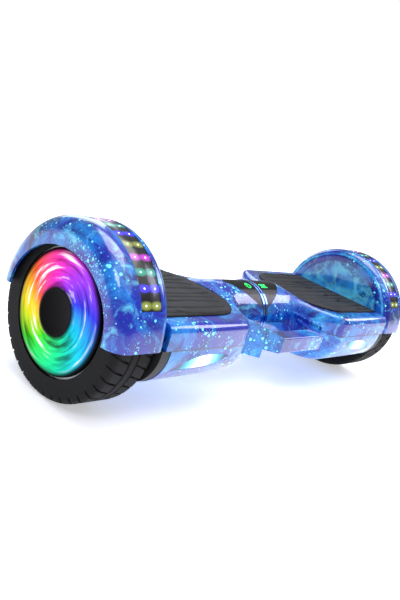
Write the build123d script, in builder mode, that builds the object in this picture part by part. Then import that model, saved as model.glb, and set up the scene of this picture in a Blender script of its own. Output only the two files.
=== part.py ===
"""Self balancing hoverboard: two twisting foot halves on hub-motor wheels.

Frame: millimetres, X along the board, front is -Y, Z up, the origin on the floor midway between
the wheels.  The board stands level on its two wheels, which share one axle line.
"""
from build123d import *
from math import cos, pi, radians, sin
import os

# ---- wheels and overall layout ----
wheel_radius = 85.0
axle_height = wheel_radius
half_length = 290.0
tyre_inner_x = 232.0
tyre_width = 50.0
tyre_bore_radius = 62.0
tyre_shoulder = 7.0

# ---- shells ----
wall = 3.0
deck_wall = 5.0
waist_radius = 37.0
deck_height = 110.0
belly_height = 36.0
body_half_depth = 90.0
deck_edge_radius = 9.0
belly_edge_radius = 46.0
waist_end_x = 5.0
flare_start_x = 50.0
flare_end_x = 110.0
flare_step = 6.0
body_end_x = 226.0

# ---- fenders ----
fender_radius = 90.5
fender_edge_radius = 18.0
fender_inner_edge_radius = 12.0
opening_half_depth = 72.0
opening_half_height = 61.0
panel_radius = 72.5
panel_depth = 1.0
strip_inner_x = 240.0
strip_outer_x = 265.0
strip_end_angle = 24.0
strip_depth = 1.8
strip_board_thickness = 0.5
axle_hole_radius = 14.0

# ---- foot mats ----
mat_inner_x = 78.0
mat_outer_x = 222.0
mat_half_depth = 70.0
mat_corner = ((52.0, 2.0), (21.0, 15.0), (5.0, 38.0))
mat_thickness = 4.0
mat_gap = 0.4
mat_travel = 1.2
pad_xs = (126.0, 196.0)
pad_length = 34.0
pad_width = 26.0
pad_y = 36.0
pad_clearance = 1.0

# ---- lamps and windows ----
lamp_inner_x = 128.0
lamp_outer_x = 206.0
lamp_height = 70.0
lamp_half_height = 8.0
lamp_gap = 0.3
lamp_housing_depth = 3.0
lamp_brow = ((157.0, 1.0), (190.0, 0.3))
lamp_chin = ((174.0, -0.9), (140.0, -0.2))
lamp_tip_share = 0.6
window_tip_x = 54.0
window_half_depth = 33.0
window_thickness = 1.6
window_gap = 0.2

# ---- waist and pivot ----
ring_radius = 38.0
ring_bore_radius = 31.0
ring_seam = 0.75
seal_gap = 0.3
seal_radius = 36.6
pivot_radius = 15.0
pivot_bore_radius = 11.0
pivot_fit = 0.05
pivot_end_x = 76.0
bush_wall = 2.5
bush_length = 12.0
boss_start_x = 38.0
boss_end_x = 72.0
boss_radius = 22.0
clip_thickness = 2.0
clip_width = 3.5
clip_groove_depth = 1.0
clip_opening = 8.0

# ---- chassis ----
chassis_base_height = 42.0
chassis_base_thickness = 6.0
chassis_half_depth = 56.0
chassis_start_x = 108.0
chassis_end_x = 221.0
neck_start_x = 86.0
neck_half_depth = 34.0
web_half_depth = 14.0
web_top = 67.0
web_thickness = 15.0
web_overlap = 12.0
block_start_x = 194.0
block_half_depth = 26.0
clamp_height = 13.0
clamp_gap = 0.4
clamp_screw_y = 18.0
post_radius = 5.5
post_places = ((98.0, 30.0), (150.0, 50.0))
post_top = deck_height - deck_wall
screw_radius = 2.0
screw_head_radius = 4.0
screw_head_height = 2.4
screw_fit = 0.05
screw_pocket_depth = 3.0
screw_depth_in_post = 14.0

# ---- motor ----
axle_radius = 8.0
stator_radius = 48.0
stator_length = 28.0
stator_slots = 18
slot_width = 2.4
slot_depth = 2.5
air_gap = 0.5
rotor_wall = 4.0
bearing_radius = 16.0
bearing_length = 7.0
bearing_boss = 4.0
hub_cover_radius = 60.0
hub_cover_bulge = 7.0
hub_cover_thickness = 2.5
hub_cover_rim = 4.0
hub_cover_lip = 0.3
hub_cover_flat_radius = 23.0
hub_cover_bow = 1.3
hub_board_inner = 22.0
hub_board_outer = 54.0
hub_board_thickness = 1.6
rim_inner_x = 235.0
rim_outer_x = 279.0
axle_start_x = 195.0
axle_fit = 0.05

# ---- wheel-arch liner ----
liner_start_x = 218.0
liner_inset = 0.5
liner_thickness = 4.0

# ---- inner electrics ----
battery_size = (84.0, 64.0, 44.0)
battery_x = 150.0
battery_offset_y = 9.0
board_size = (84.0, 72.0, 12.0)
board_x = 150.0
board_offset_y = 0.0
sensor_board_thickness = 1.6
sensor_boss_height = 3.4
sensor_boss_radius = 4.0
sensor_start_x = 104.0
sensor_end_x = 218.0
sensor_half_depth = 43.0
gyro_size = (26.0, 13.0, 4.0)
gyro_x = 122.0
gyro_y = 48.5
speaker_radius = 12.0
speaker_length = 12.0
speaker_front_y = 80.0
speaker_x = 150.0
speaker_height = 72.0
speaker_collar = 2.4
speaker_hole_radius = 1.5

# ---- rear sockets ----
io_panel_inner_x = 116.0
io_panel_outer_x = 180.0
io_panel_low = 57.0
io_panel_high = 77.0
io_panel_face_y = 89.4
io_panel_thickness = 9.0
io_gap = 0.2
socket_x = 130.0
socket_radius = 7.0
socket_bore_radius = 5.5
socket_length = 13.0
socket_mouth_length = 6.0
socket_bore_depth = 10.0
socket_step_radius = 4.6
socket_pin_radius = 0.8
socket_pin_length = 3.6
socket_pin_circle = 2.8
cap_radius = 8.4
cap_thickness = 1.4
cap_gap = 0.3
cap_barrel_radius = 1.2
cap_barrel_length = 6.0
cap_pin_radius = 0.6
cap_pin_fit = 0.05
cap_ear_thickness = 2.0
button_x = 162.0
button_radius = 6.0
button_gap = 0.35
button_proud = 1.6
button_travel = 1.0
button_depth = 6.0
switch_size = 9.0
switch_depth = 6.0
switch_stem_radius = 4.0
switch_gap = 0.2

# ---- carry handle ----
handle_front_y = -97.0
handle_bar_half_length = 43.0
handle_bar_depth = 18.0
handle_bar_bottom = 74.5
handle_bar_top = 93.5
handle_arm_bottom = 64.0
handle_arm_top = 98.0
handle_knee = (62.0, -80.0)
handle_root = (100.0, -52.0)
handle_finger_x = 36.0
handle_finger_root_x = 56.0
handle_finger_root_y = -48.0
handle_clearance = 6.0
handle_edge = 2.0
handle_screw_x = 78.0
handle_screw_heights = (75.0, 92.0)
handle_screw_head_y = -45.0
handle_screw_length = 20.0
handle_boss_radius = 5.0

sides = ((-1, "left"), (1, "right"))
axle_line = Axis((0, 0, axle_height), (1, 0, 0))
wheel_centre_x = tyre_inner_x + tyre_width / 2


# ---- helpers ----
def ramp(x, start, end):
    """Smooth 0 to 1 step between start and end."""
    t = min(max((x - start) / (end - start), 0.0), 1.0)
    return t * t * (3 - 2 * t)


def across(x):
    """Plane that crosses the board at x: its own x runs along Y and its own y along Z."""
    return Plane(origin=(x, 0, 0), x_dir=(0, 1, 0), z_dir=(1, 0, 0))


def around_axle(x):
    """The same plane, with its own origin on the axle line."""
    return Plane(origin=(x, 0, axle_height), x_dir=(0, 1, 0), z_dir=(1, 0, 0))


def radial_plane():
    """Plane through the axle line for profiles of x against radius."""
    return Plane(origin=(0, 0, axle_height), x_dir=(1, 0, 0), z_dir=(0, -1, 0))


def save(builder, name):
    builder.part.label = name
    export_step(builder.part, f"parts/{name}.step")


def section_sizes(x, inset, top_inset):
    """Half depth, top, bottom and the two corner radii of the body at x."""
    flare = flare_end_x - flare_start_x
    half_depth = waist_radius + (body_half_depth - waist_radius) * ramp(
        x, flare_start_x + flare / 10, flare_end_x)
    waist_top = axle_height + waist_radius
    waist_bottom = axle_height - waist_radius
    top = waist_top + (deck_height - waist_top) * ramp(x, flare_start_x, flare_end_x - flare / 3)
    bottom = waist_bottom + (belly_height - waist_bottom) * ramp(
        x, flare_start_x, flare_end_x - flare / 6)
    round_corner = waist_radius - 0.2
    top_radius = round_corner + (deck_edge_radius - round_corner) * ramp(
        x, flare_start_x, flare_end_x - flare / 10)
    low_radius = round_corner + (belly_edge_radius - round_corner) * ramp(
        x, flare_start_x, flare_end_x - flare / 6)
    drop = inset + (top_inset - inset) * ramp(x, flare_start_x, flare_end_x - flare / 3)
    return (half_depth - inset, top - drop, bottom + inset,
            max(top_radius - inset, 1.0), max(low_radius - inset, 1.0))


def body_mass(inset, top_inset, start_x, end_x):
    """Solid of one foot half, drawn in by inset, or blown up by a negative one."""
    stations = [start_x]
    count = round((flare_end_x - flare_start_x) / flare_step)
    for i in range(count + 1):
        stations.append(flare_start_x + (flare_end_x - flare_start_x) * i / count)
    stations.append(end_x)
    with BuildPart() as mass:
        for x in stations:
            half, top, bottom, high_r, low_r = section_sizes(x, inset, top_inset)
            high = high_r * (1 - cos(pi / 4))
            low = low_r * (1 - cos(pi / 4))
            with BuildSketch(across(x)):
                with BuildLine():
                    Line((-half + high_r, top), (half - high_r, top))
                    ThreePointArc((half - high_r, top), (half - high, top - high),
                                  (half, top - high_r))
                    Line((half, top - high_r), (half, bottom + low_r))
                    ThreePointArc((half, bottom + low_r), (half - low, bottom + low),
                                  (half - low_r, bottom))
                    Line((half - low_r, bottom), (-half + low_r, bottom))
                    ThreePointArc((-half + low_r, bottom), (-half + low, bottom + low),
                                  (-half, bottom + low_r))
                    Line((-half, bottom + low_r), (-half, top - high_r))
                    ThreePointArc((-half, top - high_r), (-half + high, top - high),
                                  (-half + high_r, top))
                make_face()
        loft(ruled=True)
    return mass.part


def ring(inner, outer, start_x, end_x):
    """Plain ring about the axle line, or a disc when inner is 0."""
    with BuildPart() as band:
        with BuildSketch(around_axle(start_x)):
            Circle(outer)
            if inner > 0:
                Circle(inner, mode=Mode.SUBTRACT)
        extrude(amount=end_x - start_x)
    return band.part


def arch(inner, outer, start_x, end_x, end_angle):
    """Ring over the wheel, from end_angle above the front horizontal to the same at the rear."""
    with BuildPart() as band:
        with BuildSketch(radial_plane()):
            with Locations(((start_x + end_x) / 2, (inner + outer) / 2)):
                Rectangle(end_x - start_x, outer - inner)
        revolve(axis=axle_line, revolution_arc=360)
        with BuildSketch(around_axle(start_x)):
            reach = 2 * outer
            with BuildLine():
                Polyline((0, 0), (reach * cos(radians(end_angle)), reach * sin(radians(end_angle))),
                         (reach, reach), (-reach, reach),
                         (-reach * cos(radians(end_angle)), reach * sin(radians(end_angle))), (0, 0))
            make_face()
        extrude(amount=end_x - start_x, mode=Mode.INTERSECT)
    return band.part


def mat_outline(grow):
    """Plan of the foot mat, grown by grow on every side.

    Its corner points are given as steps in from the inner edge and in from the long side.
    """
    rear = [(mat_inner_x + along, mat_half_depth - across_it) for along, across_it in mat_corner]
    front = [(x, -y) for x, y in rear]
    with BuildSketch() as outline:
        with BuildLine():
            Line((mat_outer_x, -mat_half_depth), (mat_outer_x, mat_half_depth))
            Line((mat_outer_x, mat_half_depth), rear[0])
            ThreePointArc(rear[0], rear[1], rear[2])
            ThreePointArc(rear[2], (mat_inner_x, 0), front[2])
            ThreePointArc(front[2], front[1], front[0])
            Line(front[0], (mat_outer_x, -mat_half_depth))
        make_face()
        if grow:
            offset(amount=grow, kind=Kind.INTERSECTION, mode=Mode.REPLACE)
    return outline.sketch


def lamp_outline(grow):
    """Drop-shaped headlight window, seen from the front, about the lamp's height."""
    with BuildSketch() as outline:
        with BuildLine():
            half = lamp_half_height + grow
            tip = (lamp_inner_x - grow, lamp_tip_share * half)
            foot = (lamp_outer_x + grow, -half)
            Spline(tip, *[(x, share * half) for x, share in lamp_brow], foot)
            Spline(foot, *[(x, share * half) for x, share in lamp_chin], tip)
        make_face()
    return outline.sketch


def window_outline(grow):
    """Plan of the display window on top of the waist."""
    depth = window_half_depth + grow
    tip = window_tip_x + grow
    bend = (waist_end_x + 0.66 * (tip - waist_end_x), depth * 0.52)
    with BuildSketch() as outline:
        with BuildLine():
            Line((waist_end_x, -depth), (waist_end_x, depth))
            ThreePointArc((waist_end_x, depth), bend, (tip, 0))
            ThreePointArc((tip, 0), (bend[0], -bend[1]), (waist_end_x, -depth))
        make_face()
    return outline.sketch


def fender_dome(inset):
    """Half dome over the wheel, from its inner wall to its outer face, drawn in by inset."""
    radius = fender_radius - inset
    inner_x = body_end_x + inset
    outer_x = half_length - inset
    edge = fender_edge_radius - inset
    near_edge = fender_inner_edge_radius - inset
    bend = edge * (1 - cos(pi / 4))
    near_bend = near_edge * (1 - cos(pi / 4))
    with BuildPart() as dome:
        with BuildSketch(radial_plane()) as profile:
            with BuildLine():
                Polyline((outer_x, radius - edge), (outer_x, 0), (inner_x, 0),
                         (inner_x, radius - near_edge))
                ThreePointArc((inner_x, radius - near_edge),
                              (inner_x + near_bend, radius - near_bend),
                              (inner_x + near_edge, radius))
                Line((inner_x + near_edge, radius), (outer_x - edge, radius))
                ThreePointArc((outer_x - edge, radius), (outer_x - bend, radius - bend),
                              (outer_x, radius - edge))
            make_face()
        revolve(axis=axle_line, revolution_arc=360)
        split(bisect_by=Plane.XY.offset(axle_height), keep=Keep.TOP)
    return dome.part


# ---- shared masses of the right-hand half ----
outer_mass = body_mass(0, 0, waist_end_x, body_end_x)
inner_mass = body_mass(wall, deck_wall, waist_end_x - 1, body_end_x - wall)
skin_mass = body_mass(window_thickness, window_thickness, waist_end_x - 1, body_end_x + 1)
lamp_middle_mass = body_mass(wall, deck_wall, waist_end_x - 1, body_end_x + 1)
lamp_back_mass = body_mass(wall + lamp_housing_depth, deck_wall, waist_end_x - 1, body_end_x + 1)
clear_mass = body_mass(-handle_clearance, -handle_clearance, waist_end_x, body_end_x)
liner_mass = body_mass(liner_inset, deck_wall, waist_end_x, body_end_x + liner_thickness)

mat_floor = deck_height - wall
mat_bottom = mat_floor + mat_travel
chassis_top = chassis_base_height + chassis_base_thickness
sensor_top = post_top - sensor_boss_height
lamp_reach = 2 * body_half_depth


def between(start, outer, inner, outline):
    """The layer between two masses, cut to a plan or front outline extruded from start."""
    with BuildPart() as layer:
        add(outer)
        add(inner, mode=Mode.SUBTRACT)
        with BuildSketch(start):
            add(outline)
        extrude(amount=lamp_reach, mode=Mode.INTERSECT)
    return layer.part


def to_side(side):
    """Turn the piece being built, drawn for the right-hand half, over to its own side."""
    if side < 0:
        mirror(about=Plane.YZ, mode=Mode.REPLACE)


def cylinder_along_y(x, z, radius, start_y, end_y):
    """Plain cylinder from start_y to end_y."""
    with BuildPart() as rod:
        with BuildSketch(Plane(origin=(x, start_y, z), x_dir=(1, 0, 0), z_dir=(0, 1, 0))):
            Circle(radius)
        extrude(amount=end_y - start_y)
    return rod.part


def block(low, high):
    """Box between two corners."""
    with BuildPart() as box:
        with BuildSketch(Plane.XY.offset(low[2])):
            with Locations(((low[0] + high[0]) / 2, (low[1] + high[1]) / 2)):
                Rectangle(high[0] - low[0], high[1] - low[1])
        extrude(amount=high[2] - low[2])
    return box.part


def handle_boss(z):
    """Boss inside the flank that takes one handle screw."""
    rod = cylinder_along_y(handle_screw_x, z, handle_boss_radius, -body_half_depth,
                           handle_screw_head_y)
    with BuildPart() as boss:
        add(rod)
        add(outer_mass, mode=Mode.INTERSECT)
    return boss.part


def handle_screw_hole(z):
    return cylinder_along_y(handle_screw_x, z, screw_radius + screw_fit, -body_half_depth,
                            handle_screw_head_y + 1)


# ---- shells ----
def upper_shell(side):
    """Deck, waist top and fender in one moulding, open below."""
    with BuildPart() as shell:
        add(outer_mass)
        add(fender_dome(0))
        add(inner_mass, mode=Mode.SUBTRACT)
        if side > 0:
            add(handle_boss(handle_screw_heights[1]))
            add(handle_screw_hole(handle_screw_heights[1]), mode=Mode.SUBTRACT)
        split(bisect_by=Plane.XY.offset(axle_height), keep=Keep.TOP)
        add(fender_dome(wall), mode=Mode.SUBTRACT)
        add(ring(0, axle_hole_radius, body_end_x - 2 * wall, body_end_x + 2 * wall),
            mode=Mode.SUBTRACT)
        with BuildSketch(around_axle(half_length - 2 * wall)):
            Ellipse(opening_half_depth, opening_half_height)
        extrude(amount=3 * wall, mode=Mode.SUBTRACT)
        with BuildSketch(around_axle(body_end_x)):
            Circle(panel_radius)
            with Locations((0, -panel_radius + deck_height - axle_height)):
                Rectangle(3 * panel_radius, 2 * panel_radius, mode=Mode.SUBTRACT)
        extrude(amount=panel_depth, mode=Mode.SUBTRACT)
        add(arch(fender_radius - strip_depth, fender_radius + strip_depth, strip_inner_x,
                 strip_outer_x, strip_end_angle), mode=Mode.SUBTRACT)
        with BuildSketch(Plane.XY.offset(mat_floor)):
            add(mat_outline(mat_gap))
        extrude(amount=waist_radius, mode=Mode.SUBTRACT)
        with BuildSketch(Plane.XY.offset(mat_floor - deck_wall)):
            with Locations(*[(x, y) for x in pad_xs for y in (-pad_y, pad_y)]):
                Rectangle(pad_length + 2 * pad_clearance, pad_width + 2 * pad_clearance)
        extrude(amount=2 * deck_wall, mode=Mode.SUBTRACT)
        with BuildSketch(Plane.XY.offset(sensor_top)):
            with Locations(*sensor_boss_places()):
                Circle(sensor_boss_radius)
        extrude(amount=sensor_boss_height)
        add(between(Plane.XY.offset(axle_height), outer_mass, skin_mass,
                    window_outline(window_gap)), mode=Mode.SUBTRACT)
        to_side(side)
    return shell


def sensor_boss_places():
    """Plan of the bosses that the pedal board hangs from, between the pads."""
    middle = sum(pad_xs) / 2
    return ((middle, -pad_y), (middle, pad_y), (sensor_start_x + sensor_boss_radius, 0),
            (sensor_end_x - sensor_boss_radius, 0))


def lower_shell(side):
    """Belly and lower walls, with the headlight window and the screw pockets."""
    with BuildPart() as shell:
        add(outer_mass)
        add(inner_mass, mode=Mode.SUBTRACT)
        if side > 0:
            add(handle_boss(handle_screw_heights[0]))
            add(handle_screw_hole(handle_screw_heights[0]), mode=Mode.SUBTRACT)
            add(block((io_panel_inner_x - io_gap, io_panel_face_y - 2 * io_panel_thickness,
                       io_panel_low - io_gap),
                      (io_panel_outer_x + io_gap, 2 * body_half_depth, io_panel_high + io_gap)),
                mode=Mode.SUBTRACT)
        else:
            add(speaker_collar_mass())
            add(speaker_holes(), mode=Mode.SUBTRACT)
        split(bisect_by=Plane.XY.offset(axle_height), keep=Keep.BOTTOM)
        with BuildSketch(Plane.XY.offset(belly_height + wall / 2)):
            with Locations(*post_plan()):
                Circle(post_radius)
        extrude(amount=chassis_base_height - belly_height - wall / 2)
        add(ring(0, axle_hole_radius, body_end_x - 2 * wall, body_end_x + 2 * wall),
            mode=Mode.SUBTRACT)
        with BuildSketch(Plane.XY):
            with Locations(*post_plan()):
                Circle(screw_radius + screw_fit)
        extrude(amount=axle_height, mode=Mode.SUBTRACT)
        with BuildSketch(Plane.XY):
            with Locations(*post_plan()):
                Circle(screw_head_radius + screw_fit)
        extrude(amount=belly_height + screw_pocket_depth, mode=Mode.SUBTRACT)
        with BuildSketch(front_plane()):
            add(lamp_outline(lamp_gap))
        extrude(amount=lamp_reach, mode=Mode.SUBTRACT)
        split(bisect_by=Plane.YZ.offset(liner_start_x), keep=Keep.BOTTOM)
        to_side(side)
    return shell


def post_plan():
    return [(x, y) for x, post_y in post_places for y in (-post_y, post_y)]


def front_plane():
    """Upright plane through the axle line that faces the front."""
    return Plane(origin=(0, 0, lamp_height), x_dir=(1, 0, 0), z_dir=(0, -1, 0))


def speaker_collar_mass():
    """Collar inside the rear wall that the speaker sits in."""
    with BuildPart() as collar:
        add(cylinder_along_y(speaker_x, speaker_height, speaker_radius + speaker_collar,
                             speaker_front_y - speaker_length + 2, body_half_depth))
        add(cylinder_along_y(speaker_x, speaker_height, speaker_radius + screw_fit,
                             speaker_front_y - speaker_length, speaker_front_y),
            mode=Mode.SUBTRACT)
        add(outer_mass, mode=Mode.INTERSECT)
    return collar.part


def speaker_holes():
    """Grille of holes through the rear wall."""
    with BuildPart() as holes:
        rear = Plane(origin=(speaker_x, speaker_front_y - 1, speaker_height), x_dir=(1, 0, 0),
                     z_dir=(0, 1, 0))
        with BuildSketch(rear):
            Circle(speaker_hole_radius)
            with PolarLocations(speaker_radius / 2, 6):
                Circle(speaker_hole_radius)
            with PolarLocations(speaker_radius * 0.8, 12):
                Circle(speaker_hole_radius)
        extrude(amount=body_half_depth)
    return holes.part


def well_liner(side):
    """Black cap that closes the body's end beside the wheel, below the seam."""
    with BuildPart() as liner:
        add(liner_mass)
        split(bisect_by=Plane.YZ.offset(liner_start_x), keep=Keep.TOP)
        split(bisect_by=Plane.XY.offset(axle_height), keep=Keep.BOTTOM)
        add(inner_mass, mode=Mode.SUBTRACT)
        add(ring(0, axle_hole_radius, liner_start_x, body_end_x + 2 * liner_thickness),
            mode=Mode.SUBTRACT)
        to_side(side)
    return liner


# ---- pieces in the shells ----
def foot_mat(side):
    """Rubber mat in its pocket in the deck, with the four blocks that press the pedal board."""
    with BuildPart() as mat:
        with BuildSketch(Plane.XY.offset(mat_bottom)):
            add(mat_outline(0))
        extrude(amount=mat_thickness)
        with BuildSketch(Plane.XY.offset(mat_bottom)):
            with Locations(*[(x, y) for x in pad_xs for y in (-pad_y, pad_y)]):
                Rectangle(pad_length, pad_width)
        extrude(amount=sensor_top + mat_travel - mat_bottom)
        to_side(side)
    return mat


def pedal_board(side):
    """Board that feels the foot, hung from the bosses under the deck."""
    with BuildPart() as board:
        with BuildSketch(Plane.XY.offset(sensor_top - sensor_board_thickness)):
            with Locations(((sensor_start_x + sensor_end_x) / 2, 0)):
                Rectangle(sensor_end_x - sensor_start_x, 2 * sensor_half_depth)
        extrude(amount=sensor_board_thickness)
        to_side(side)
    return board


def display_window(side):
    """Gloss window let into the waist, flush with it."""
    with BuildPart() as window:
        add(between(Plane.XY.offset(axle_height), outer_mass, skin_mass, window_outline(0)))
        to_side(side)
    return window


def fender_board(side):
    """Flexible light board on the floor of the fender's groove."""
    floor = fender_radius - strip_depth
    with BuildPart() as board:
        add(arch(floor, floor + strip_board_thickness, strip_inner_x, strip_outer_x,
                 strip_end_angle))
        to_side(side)
    return board


def fender_lens(side):
    """Clear smoked strip over the light board, flush with the fender."""
    with BuildPart() as lens:
        add(arch(fender_radius - strip_depth + strip_board_thickness, fender_radius,
                 strip_inner_x, strip_outer_x, strip_end_angle))
        to_side(side)
    return lens


def headlight_lens(side):
    """Lens in the headlight window, flush with the lower shell."""
    with BuildPart() as lens:
        add(between(front_plane(), outer_mass, lamp_middle_mass, lamp_outline(0)))
        to_side(side)
    return lens


def headlight_housing(side):
    """Dark tray behind the lens, against the inside of the wall."""
    with BuildPart() as housing:
        add(between(front_plane(), lamp_middle_mass, lamp_back_mass, lamp_outline(wall)))
        to_side(side)
    return housing


# ---- chassis and motor ----
def chassis(side):
    """Cast frame: pivot boss, web, base plate, axle block and the posts under the deck."""
    bore = pivot_radius + pivot_fit + bush_wall if side > 0 else pivot_radius
    with BuildPart() as frame:
        with BuildSketch(Plane.XY.offset(chassis_base_height)):
            with Locations(((chassis_start_x + chassis_end_x) / 2, 0)):
                Rectangle(chassis_end_x - chassis_start_x, 2 * chassis_half_depth)
            with Locations(((neck_start_x + chassis_start_x) / 2, 0)):
                Rectangle(chassis_start_x - neck_start_x, 2 * neck_half_depth)
        extrude(amount=chassis_base_thickness)
        add(block((block_start_x, -block_half_depth, chassis_base_height),
                  (chassis_end_x, block_half_depth, axle_height)))
        web_start_x = boss_end_x - web_overlap
        web_end_x = neck_start_x + web_overlap
        with BuildSketch(Plane.XZ):
            with BuildLine():
                Polyline((web_start_x, web_top - web_thickness),
                         (boss_end_x, web_top - web_thickness),
                         (neck_start_x, chassis_base_height), (web_end_x, chassis_base_height),
                         (web_end_x, chassis_top), (neck_start_x, web_top), (web_start_x, web_top),
                         close=True)
            make_face()
        extrude(amount=web_half_depth, both=True)
        add(ring(0, boss_radius, boss_start_x, boss_end_x))
        add(ring(0, bore, 0, boss_end_x + 1), mode=Mode.SUBTRACT)
        add(ring(0, pivot_radius + 2 * bush_wall, boss_end_x, web_end_x), mode=Mode.SUBTRACT)
        add(ring(0, axle_radius, block_start_x - 1, chassis_end_x + 1), mode=Mode.SUBTRACT)
        with BuildSketch(Plane.XY.offset(chassis_base_height)):
            with Locations(*post_plan()):
                Circle(post_radius)
        extrude(amount=post_top - chassis_base_height)
        with BuildSketch(Plane.XY.offset(chassis_base_height)):
            with Locations(*post_plan()):
                Circle(screw_radius + screw_fit)
        extrude(amount=screw_depth_in_post + 1, mode=Mode.SUBTRACT)
        with BuildSketch(Plane.XY.offset(axle_height - clamp_height)):
            with Locations(*clamp_screw_plan()):
                Circle(screw_radius + screw_fit)
        extrude(amount=clamp_height + 1, mode=Mode.SUBTRACT)
        to_side(side)
    return frame


def clamp_screw_plan():
    edge = (chassis_end_x - block_start_x) / 4
    return [(x, y) for x in (block_start_x + edge, chassis_end_x - edge)
            for y in (-clamp_screw_y, clamp_screw_y)]


def axle_clamp(side):
    """Cap that clamps the motor's axle down in the chassis block."""
    top = axle_height + clamp_height
    with BuildPart() as clamp:
        add(block((block_start_x, -block_half_depth, axle_height + clamp_gap),
                  (chassis_end_x, block_half_depth, top)))
        add(ring(0, axle_radius, block_start_x - 1, chassis_end_x + 1), mode=Mode.SUBTRACT)
        with BuildSketch(Plane.XY.offset(axle_height)):
            with Locations(*clamp_screw_plan()):
                Circle(screw_radius + screw_fit)
        extrude(amount=clamp_height + 1, mode=Mode.SUBTRACT)
        with BuildSketch(Plane.XY.offset(top - screw_head_height)):
            with Locations(*clamp_screw_plan()):
                Circle(screw_head_radius + screw_fit)
        extrude(amount=screw_head_height + 1, mode=Mode.SUBTRACT)
        to_side(side)
    return clamp


def half_screws(side):
    """Screws up through the belly into the chassis posts, and down through the axle clamp."""
    seat = belly_height + screw_pocket_depth
    clamp_seat = axle_height + clamp_height - screw_head_height
    with BuildPart() as screws:
        with BuildSketch(Plane.XY.offset(clamp_seat)):
            with Locations(*clamp_screw_plan()):
                Circle(screw_head_radius)
        extrude(amount=screw_head_height)
        with BuildSketch(Plane.XY.offset(clamp_seat)):
            with Locations(*clamp_screw_plan()):
                Circle(screw_radius)
        extrude(amount=-clamp_height)
        with BuildSketch(Plane.XY.offset(seat - screw_head_height)):
            with Locations(*post_plan()):
                Circle(screw_head_radius)
        extrude(amount=screw_head_height)
        with BuildSketch(Plane.XY.offset(seat)):
            with Locations(*post_plan()):
                Circle(screw_radius)
        extrude(amount=screw_depth_in_post)
        to_side(side)
    return screws


def axle(side):
    """Steel motor axle, held in the chassis."""
    with BuildPart() as shaft:
        add(ring(0, axle_radius, axle_start_x, rim_outer_x))
        to_side(side)
    return shaft


def stator(side):
    """Slotted iron core with its windings, fixed on the axle."""
    start = wheel_centre_x - stator_length / 2
    with BuildPart() as core:
        add(ring(axle_radius, stator_radius, start, start + stator_length))
        with BuildSketch(around_axle(start)):
            with PolarLocations(stator_radius, stator_slots):
                Rectangle(2 * slot_depth, slot_width)
        extrude(amount=stator_length, mode=Mode.SUBTRACT)
        to_side(side)
    return core


def motor_rim(side):
    """Rotor can and wheel rim in one, on two bearings."""
    cavity = stator_radius + air_gap
    boss = bearing_radius + bearing_boss
    with BuildPart() as rim:
        add(ring(0, tyre_bore_radius, rim_inner_x, rim_outer_x))
        add(ring(boss, cavity, rim_inner_x + rotor_wall, rim_outer_x - rotor_wall),
            mode=Mode.SUBTRACT)
        add(ring(0, boss + 1, rim_inner_x + bearing_length, rim_outer_x - bearing_length),
            mode=Mode.SUBTRACT)
        add(ring(0, bearing_radius, rim_inner_x - 1, rim_outer_x + 1), mode=Mode.SUBTRACT)
        to_side(side)
    return rim


def motor_bearings(side):
    """Two ball bearings between axle and rim, each drawn as one ring."""
    with BuildPart() as bearings:
        bore = axle_radius + axle_fit
        add(ring(bore, bearing_radius, rim_inner_x, rim_inner_x + bearing_length))
        add(ring(bore, bearing_radius, rim_outer_x - bearing_length, rim_outer_x))
        to_side(side)
    return bearings


def tyre(side):
    """Solid rubber tyre with rounded shoulders."""
    with BuildPart() as rubber:
        add(ring(tyre_bore_radius, wheel_radius, tyre_inner_x, tyre_inner_x + tyre_width))
        crown = rubber.edges().filter_by(GeomType.CIRCLE).group_by(SortBy.RADIUS)[-1]
        fillet(crown, radius=tyre_shoulder)
        to_side(side)
    return rubber


def hub_light_board(side):
    """Ring board with the hub lights, on the rim's outer face."""
    with BuildPart() as board:
        add(ring(hub_board_inner, hub_board_outer, rim_outer_x, rim_outer_x + hub_board_thickness))
        to_side(side)
    return board


def hub_cover(side):
    """Domed clear cover over the hub lights."""
    edge = rim_outer_x + hub_cover_thickness
    crown = rim_outer_x + hub_cover_bulge
    shoulder = (crown - hub_cover_bow, (hub_cover_flat_radius + hub_cover_radius) / 2)
    lip = hub_cover_radius - hub_cover_rim
    with BuildPart() as cover:
        with BuildSketch(radial_plane()):
            with BuildLine():
                ThreePointArc((edge, hub_cover_radius), shoulder, (crown, hub_cover_flat_radius))
                Polyline((crown, hub_cover_flat_radius), (crown, 0),
                         (crown - hub_cover_thickness, 0),
                         (crown - hub_cover_thickness, hub_cover_flat_radius),
                         (shoulder[0] - hub_cover_thickness, shoulder[1]),
                         (edge - hub_cover_lip, lip), (rim_outer_x, lip),
                         (rim_outer_x, hub_cover_radius), (edge, hub_cover_radius))
            make_face()
        revolve(axis=axle_line, revolution_arc=360)
        to_side(side)
    return cover


# ---- waist ----
def waist_ring(side):
    """Bright trim ring round the waist's end."""
    with BuildPart() as trim:
        add(ring(ring_bore_radius, ring_radius, ring_seam, waist_end_x))
        to_side(side)
    return trim


def waist_seal():
    """Dark seal between the two trim rings, held by the left one."""
    with BuildPart() as seal:
        add(ring(ring_bore_radius + 2, seal_radius, -ring_seam, ring_seam - seal_gap))
    return seal


def pivot_tube():
    """Steel tube that joins the halves, fixed in the left one."""
    groove = boss_end_x + clip_thickness / 4
    with BuildPart() as tube:
        add(ring(pivot_bore_radius, pivot_radius, -boss_end_x, pivot_end_x))
        add(ring(pivot_radius - clip_groove_depth, pivot_radius + 1, groove,
                 groove + clip_thickness), mode=Mode.SUBTRACT)
    return tube


def pivot_bushes():
    """Two plastic bushes that the tube turns in."""
    bore = pivot_radius + pivot_fit
    with BuildPart() as bushes:
        add(ring(bore, bore + bush_wall, boss_start_x, boss_start_x + bush_length))
        add(ring(bore, bore + bush_wall, boss_end_x - bush_length, boss_end_x))
    return bushes


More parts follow.
